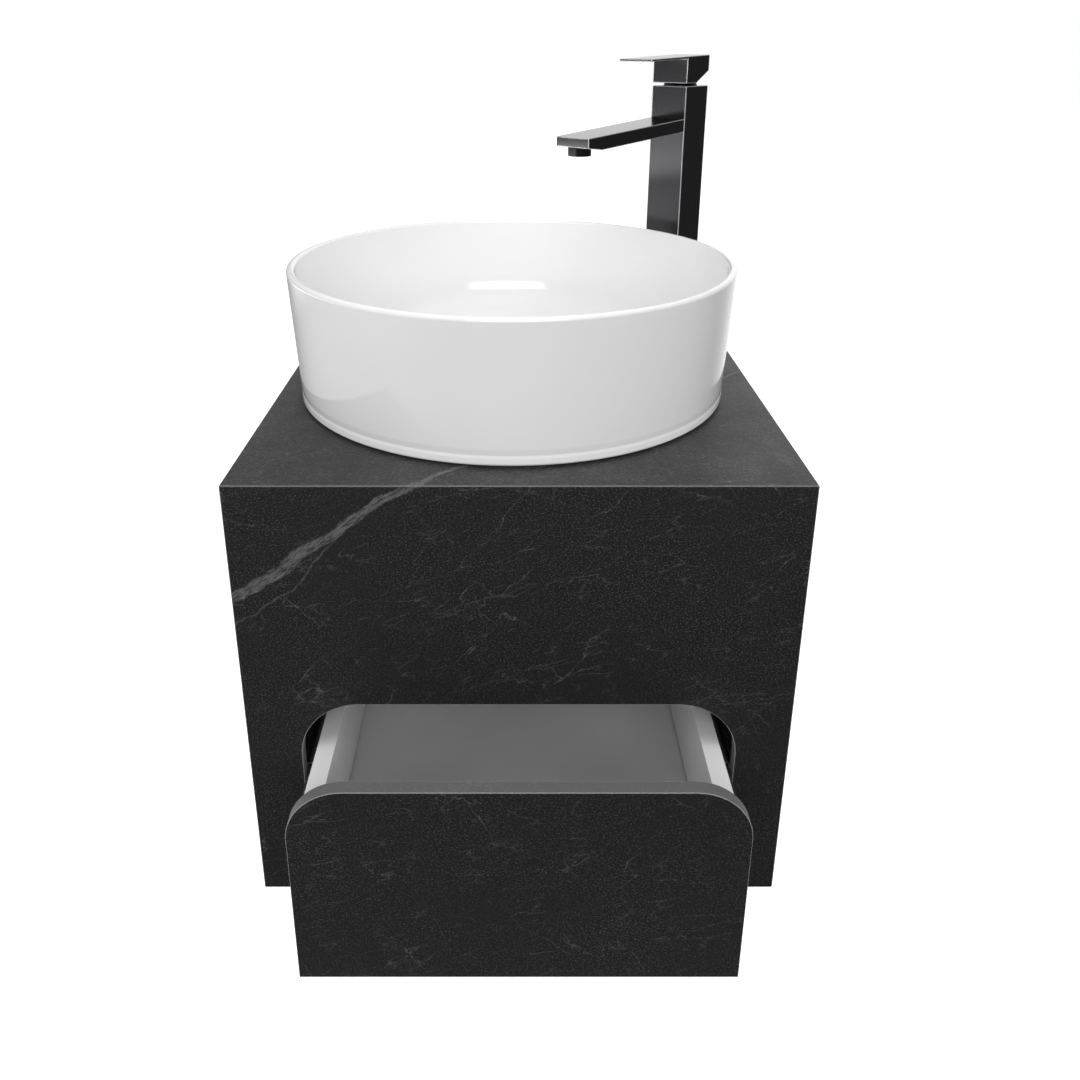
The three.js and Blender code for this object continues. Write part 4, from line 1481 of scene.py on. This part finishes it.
@dataclass
class Mixer:
    """The tall square mixer. Sizes in millimetres, heights above the counter, before it is turned on its hole.

    Its spout and lever reach towards -Y and the whole mixer is then turned about its shank.
    """

    half: float = 21.0
    base: float = 2.0
    top: float = 268.5
    arris: float = 0.75
    spout_top: float = 236.0
    spout_drop: float = 8.8
    spout_length: float = 163.0
    spout_height: float = 13.3
    tip_height: float = 9.0
    tip_half: float = 19.5
    bow: float = 2.5
    nose: float = 24.0
    aerator_reach: float = 170.0
    handle_top: float = 299.3
    handle_gap: float = 2.9
    lever_reach: float = 84.0
    lever_drop: float = 3.3
    lever_plate: float = 2.4
    tilt_pivot: float = 264.0
    bow_cuts: int = 15

    def build(self) -> None:
        """Builds the column, the spout, the handle and the fixings below the counter."""
        self.axis = middle_of("mixer_shank")
        self.axis.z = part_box("counter_top")[1].z
        self.column()
        self.spout()
        self.aerator()
        self.collar()
        self.handle()
        self.fixings()

    def at(self, x: float, y: float, z: float) -> Vector:
        """A point of the unturned mixer."""
        return self.axis + vector_mm(x, y, z)

    def box(self, name: str, low: tuple[float, float, float], high: tuple[float, float, float]) -> Piece:
        """A box of the unturned mixer."""
        return add_box(name, self.at(*low), self.at(*high))

    def finish(self, piece: Piece, node: str, body: Body, slot: str, finishes: Sequence[Finish] = ()) -> None:
        """Turns a piece to its place and hands it over in place of its node.

        Args:
            piece: the piece, still unturned.
            node: the CAD node that it stands for.
            body: the body that carries it.
            slot: the record's name for its material; not used.
            finishes: its materials, unless the piece has its own already.
        """
        turn_about(piece, self.axis, MIXER_TURN, Z)
        smooth(piece, 25)
        hand_over(piece, body, [node], finishes)

    def edge(self, piece: Piece, finish: Finish) -> None:
        """Rounds a coated piece's arrises and gives their bevels a pale metal: a painted highlight for the light
        that they catch.

        Args:
            piece: the piece.
            finish: the material of its faces.
        """
        piece.data.materials.append(finish.material())
        piece.data.materials.append(GUNMETAL_PAINTED_HIGHLIGHT.material())
        # The bevels take slot 1, the pale metal: a painted highlight along every arris.
        soften(piece, mm(self.arris), segments=3, finish=1)

    def column(self) -> None:
        """The square column with the cartridge's bore at its top."""
        piece = self.box("column", (-self.half, -self.half, self.base), (self.half, self.half, self.top))
        self.edge(piece, GUNMETAL)
        cut_out(piece, add_rod("bore", self.at(0, 0, self.top), mm(17.8), mm(80), 64))
        self.finish(piece, "mixer_body", Body.CABINET, "gunmetal")

    def spout(self) -> None:
        """The flat spout: narrower and lower at its bowed tip, with its nose cut up from below."""
        root, tip = -self.half - 0.3, -self.half - self.spout_length + self.bow
        fall = self.spout_drop / self.spout_length
        drop = (root - tip) * fall
        piece = self.box(
            "spout_bar",
            (-self.half, tip, self.spout_top - self.spout_height),
            (self.half, root, self.spout_top),
        )
        tip_y = self.at(0, tip, 0).y
        with editing(piece, Choose.VERTICES):
            pick(piece, Choose.VERTICES, lambda place, normal: abs(place.y - tip_y) < mm(0.1))
            bpy.ops.transform.resize(
                value=(self.tip_half / self.half, 1, 1), center_override=self.at(0, tip, self.spout_top))
            bpy.ops.transform.translate(value=vector_mm(0, 0, -drop))
        with editing(piece, Choose.EDGES):
            pick(piece, Choose.EDGES, lambda middle, way: abs(way.x) > 0.9 and abs(middle.y - tip_y) < mm(0.1))
            bpy.ops.mesh.subdivide(number_cuts=self.bow_cuts)
        with editing(piece, Choose.VERTICES):
            for i in range(1, self.bow_cuts + 1):
                share = 2 * i / (self.bow_cuts + 1) - 1
                column_x = self.at(self.tip_half * share, 0, 0).x
                bpy.ops.mesh.select_all(action="DESELECT")
                pick(piece, Choose.VERTICES, lambda place, normal: abs(place.y - tip_y) < mm(0.05)
                     and abs(place.x - column_x) < mm(0.05))
                ahead = self.bow * (1 - share ** 2)
                bpy.ops.transform.translate(value=vector_mm(0, -ahead, -ahead * fall))
        nose_y = tip - self.bow + self.nose
        nose_top = self.spout_top + fall * (nose_y - root)
        tip_top = self.spout_top - drop
        nose = Vector((0, nose_y, nose_top - self.spout_height))
        way = nose - Vector((0, tip - self.bow, tip_top - self.tip_height))
        trim(piece, self.at(*nose), Vector((0, way.z, -way.y)))
        self.edge(piece, GUNMETAL_LEVER)
        socket_middle = self.at(0, -self.aerator_reach, self.spout_top - drop - 18)
        cut_out(piece, add_rod("aerator_socket", socket_middle, mm(11.5), mm(22)))
        self.finish(piece, "mixer_spout", Body.CABINET, "gunmetal")

    def aerator(self) -> None:
        """The aerator's ring below the spout's tip."""
        low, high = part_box("aerator_housing")
        axis = Vector(((low.x + high.x) / 2, (low.y + high.y) / 2, low.z))
        height = (high.z - low.z) * 1000
        piece = spin("aerator_ring", [
            Corner(9, 0, 0.4), Corner(11.2, 0, 0.5), Corner(11.2, height), Corner(9, height)], axis)
        smooth(piece)
        hand_over(piece, Body.CABINET, ["aerator_housing"], [GUNMETAL_TURNED])

    def dome(self, radius: float, start: float, end: float, steps: int) -> list[Corner]:
        """An arc about the tilt pivot, between two angles above the horizon in degrees."""
        angles = [math.radians(start + (end - start) * i / steps) for i in range(steps + 1)]
        return [Corner(radius * math.cos(a), self.tilt_pivot + radius * math.sin(a)) for a in angles]

    def collar(self) -> None:
        """The domed collar nut that shows in the gap under the handle."""
        piece = spin("collar", [
            Corner(14.8, 256, 0.3), Corner(17.5, 256, 0.3), Corner(17.5, self.top + 0.3, 0.2),
            *self.dome(18.3, 15.5, 49, 8), *self.dome(15.8, 40, 12, 6)], self.axis)
        smooth(piece)
        hand_over(piece, Body.CABINET, ["collar_nut"], [GUNMETAL])

    def handle(self) -> None:
        """The handle: a block with its lower back cut away, and a thin lever plate from its top."""
        bottom = self.top + self.handle_gap
        fall = self.lever_drop / (self.lever_reach + self.half)
        piece = self.box(
            "lever_handle", (-self.half, -self.lever_reach, bottom), (self.half, self.half, self.handle_top))
        tip_y = self.at(0, -self.lever_reach, 0).y
        up = Vector((0, -fall, 1))
        trim(piece, self.at(0, self.half, self.handle_top), up)
        below = self.box(
            "below_lever", (-30, -self.lever_reach - 5, bottom - 5), (30, -self.half, self.handle_top + 5))
        trim(below, self.at(0, self.half, self.handle_top - self.lever_plate), up)
        cut_out(piece, below)
        rise, run = 12, self.half + 2
        trim(piece, self.at(0, -2, bottom), Vector((0, rise, -run)))
        with editing(piece, Choose.VERTICES):
            pick(piece, Choose.VERTICES, lambda place, normal: abs(place.y - tip_y) < mm(0.1))
            bpy.ops.transform.resize(
                value=(self.tip_half / self.half, 1, 1), center_override=self.at(0, 0, self.handle_top))
        self.edge(piece, GUNMETAL_LEVER)
        cut_out(
            piece,
            add_rod("pocket", self.at(0, 0, bottom + 1.8), mm(19), mm(20), 64),
            self.box("stem_socket", (-3.9, -3.9, bottom), (3.9, 3.9, 292.6)),
        )
        self.finish(piece, "mixer_handle", Body.HANDLE, "gunmetal")

    def fixings(self) -> None:
        """The threaded shank, its washer and nut, and the two supply nipples."""
        shank = spin("threaded_shank", [
            Corner(11.2, -55, 0.3), Corner(14, -55, 0.4), *thread(14, -54, -13), Corner(14, -12),
            Corner(14, 14), Corner(11.2, 14)], self.axis)
        self.finish(shank, "mixer_shank", Body.CABINET, "brass", [BRASS])
        shank_nut = nut("mixer_nut", self.axis, 23, 14.4, -27, -16)
        self.finish(shank_nut, "shank_nut", Body.CABINET, "brass", [BRASS])
        washer = add_rod("washer_plate", self.at(0, 0, -13.8), mm(26), mm(3), 64)
        slot = self.box("washer_slot", (-14.4, 0, -20), (14.4, 40, -8))
        cut_out(washer, add_rod("washer_bore", self.at(0, 0, -13.8), mm(14.4), mm(12)), slot)
        soften(washer, mm(0.4))
        self.finish(washer, "horseshoe_washer", Body.CABINET, "zinc_steel", [ZINC])
        for name, x in (("hot", -5.3), ("cold", 5.3)):
            barbs = [
                corner for i in range(4)
                for corner in (Corner(4.0, -80 + 3.2 * i), Corner(4.8, -77.6 + 3.2 * i, 0.2))]
            nipple = spin(f"{name}_nipple", [
                Corner(2.8, -80), *barbs, Corner(4.3, -67), Corner(4.3, 12), Corner(2.8, 12)],
                self.at(x, 0, 0), 32)
            self.finish(nipple, f"{name}_inlet_nipple", Body.CABINET, "brass", [BRASS])


def dress_nodes() -> None:
    """Gives the CAD nodes that still show, all of them small and mostly hidden, their finishes."""
    finishes = {
        "waste_upper_gasket": RUBBER, "waste_lower_gasket": RUBBER, "mixer_base_gasket": RUBBER,
        "plug_guide": BRASS, "cartridge_stem": BRASS, "ceramic_cartridge": WHITE_PLASTIC,
        "cartridge_carrier": BLACK_PLASTIC, "aerator_insert": BLACK_PLASTIC, "handle_set_screw": ZINC,
    }
    for node, finish in finishes.items():
        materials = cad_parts[node].data.materials
        materials.clear()
        materials.append(finish.material())


# ---- Studio ----------------------------------------------------------------------------------------------


@dataclass
class Studio:
    """A plain pale floor, soft studio light and the camera. Lights in watts, the surround's glow as strengths."""

    eye: tuple[float, float, float] = (-0.0034, -1.1008, 0.3662)
    pitch: float = 19.726
    lens: float = 31.63
    sensor: float = 36.0
    shift_x: float = 0.0235
    shift_y: float = -0.1481
    floor_depth: float = 0.85
    above: float = 0.45
    behind: float = 1.0
    left: float = 4.2
    around: float = 0.14
    right: float = 0.09
    top_power: float = 10.0
    front_power: float = 37.0
    side_power: float = 17.5

    def build(self) -> None:
        """Builds the camera, the floor, the world and the lights."""
        self.camera()
        self.floor()
        self.world()
        middle = (CAD_BOX[0] + CAD_BOX[1]) / 2
        self.panel("top_light", Vector((-0.1, -0.62, 1.75)), Vector((0, -0.5, 0)), (1.5, 0.7), self.top_power)
        self.panel("front_light", Vector((0.15, -2.9, 1.15)), middle, (2.4, 1.2), self.front_power, mirrored=True)
        for x in (-2.3, 2.3):
            self.panel("side_light", Vector((x, -1.5, 0.9)), middle, (1.4, 1.4), self.side_power)
        bpy.context.scene.view_settings.view_transform = "Standard"

    def camera(self) -> None:
        """The camera, at the height and pitch of someone who looks down at the basin."""
        start_clean()
        bpy.ops.object.camera_add(location=self.eye, rotation=(math.radians(90 - self.pitch), 0, 0))
        camera = bpy.context.object
        camera.data.sensor_width = self.sensor
        camera.data.lens = self.lens
        camera.data.shift_x = self.shift_x
        camera.data.shift_y = self.shift_y
        bpy.context.scene.camera = camera

    def floor(self) -> None:
        """A large pale floor, well below the vanity as under a real one."""
        start_clean()
        bpy.ops.mesh.primitive_plane_add(size=30, location=(0, 0, -self.floor_depth))
        floor = named("studio_floor")
        paint = Finish("floor_paint_pale", "#fbfbfb", 0.9).material()
        shader = paint.node_tree.nodes["Principled BSDF"]
        shader.inputs["Emission Color"].default_value = linear("#ffffff")
        shader.inputs["Emission Strength"].default_value = 0.75
        floor.data.materials.append(paint)
        floor.visible_glossy = False
        floor.visible_diffuse = False

    def world(self) -> None:
        """A white surround. It lights the object as a room does: bright behind it and low on its left."""
        world = bpy.data.worlds.new("studio_surround")
        bpy.context.scene.world = world
        world.use_nodes = True
        tree = world.node_tree
        seen = add_node(tree, "ShaderNodeLightPath").outputs["Is Camera Ray"]
        way = add_node(tree, "ShaderNodeSeparateXYZ", {
            "Vector": add_node(tree, "ShaderNodeTexCoord").outputs["Generated"]})

        def ramp(axis: str, start: float, end: float, low: float, high: float) -> bpy.types.NodeSocket:
            """A smooth change of strength along one axis of the direction looked in.

            Args:
                axis: the axis, by its letter.
                start: the direction's share along the axis where the change starts.
                end: the share where it ends.
                low: the strength at the start.
                high: the strength at the end.

            Returns:
                The socket with the strength.
            """
            return add_node(tree, "ShaderNodeMapRange", {
                "Value": way.outputs[axis], "From Min": start, "From Max": end, "To Min": low, "To Max": high,
            }, interpolation_type="SMOOTHSTEP").outputs["Result"]

        behind = add_node(tree, "ShaderNodeMath", {
            0: ramp("Y", 0.5, 0.92, 0.0, self.behind), 1: ramp("X", -0.22, 0.0, 0.25, 1.0),
        }, operation="MULTIPLY")
        high = add_node(tree, "ShaderNodeMath", {
            0: behind.outputs[0], 1: ramp("Z", 0.4, 0.85, 0.0, self.above)}, operation="ADD")
        band = add_node(tree, "ShaderNodeMath", {
            0: ramp("Z", -0.1, -0.16, 0.0, 1.0), 1: ramp("Z", -0.21, -0.3, 1.0, 0.15)}, operation="MULTIPLY")
        left_low = add_node(tree, "ShaderNodeMath", {
            0: ramp("X", -0.45, -0.9, 0.0, self.left), 1: band.outputs[0]}, operation="MULTIPLY")
        around = ramp("X", -0.2, 0.8, self.around, self.right)
        sides = add_node(tree, "ShaderNodeMath", {0: left_low.outputs[0], 1: around}, operation="ADD")
        strength = add_node(tree, "ShaderNodeMath", {0: sides.outputs[0], 1: high.outputs[0]}, operation="ADD")
        glow = add_node(tree, "ShaderNodeBackground", {
            "Color": (1, 1, 1, 1), "Strength": strength.outputs[0]})
        white = add_node(tree, "ShaderNodeBackground", {"Color": (1, 1, 1, 1), "Strength": 1.0})
        mixed = add_node(tree, "ShaderNodeMixShader", {
            0: seen, 1: glow.outputs["Background"], 2: white.outputs["Background"]})
        tree.links.new(mixed.outputs["Shader"], tree.nodes["World Output"].inputs["Surface"])

    def panel(
        self, name: str, place: Vector, target: Vector, size: tuple[float, float], power: float,
        mirrored: bool = False,
    ) -> None:
        """A soft rectangular light that faces a point.

        Args:
            name: the light's name.
            place: where it hangs.
            target: the point that it faces.
            size: its width and height.
            power: its power in watts.
            mirrored: whether shiny surfaces mirror it.
        """
        start_clean()
        bpy.ops.object.light_add(type="AREA", location=place)
        light = bpy.context.object
        light.name = name
        light.data.shape = "RECTANGLE"
        light.data.size, light.data.size_y = size
        light.data.energy = power
        light.rotation_euler = (target - place).to_track_quat("-Z", "Y").to_euler()
        light.visible_glossy = mirrored


def main() -> None:
    """Builds the object's looks and the studio, in order."""
    logging.basicConfig(level=logging.INFO, format="%(name)s: %(message)s")
    Studio().build()
    Boards().build()
    Carcass().build()
    Drawer().build()
    Slides().build()
    Basin().build()
    Waste().build()
    BottleTrap().build()
    Mixer().build()
    dress_nodes()


if __name__ == "__main__":
    main()
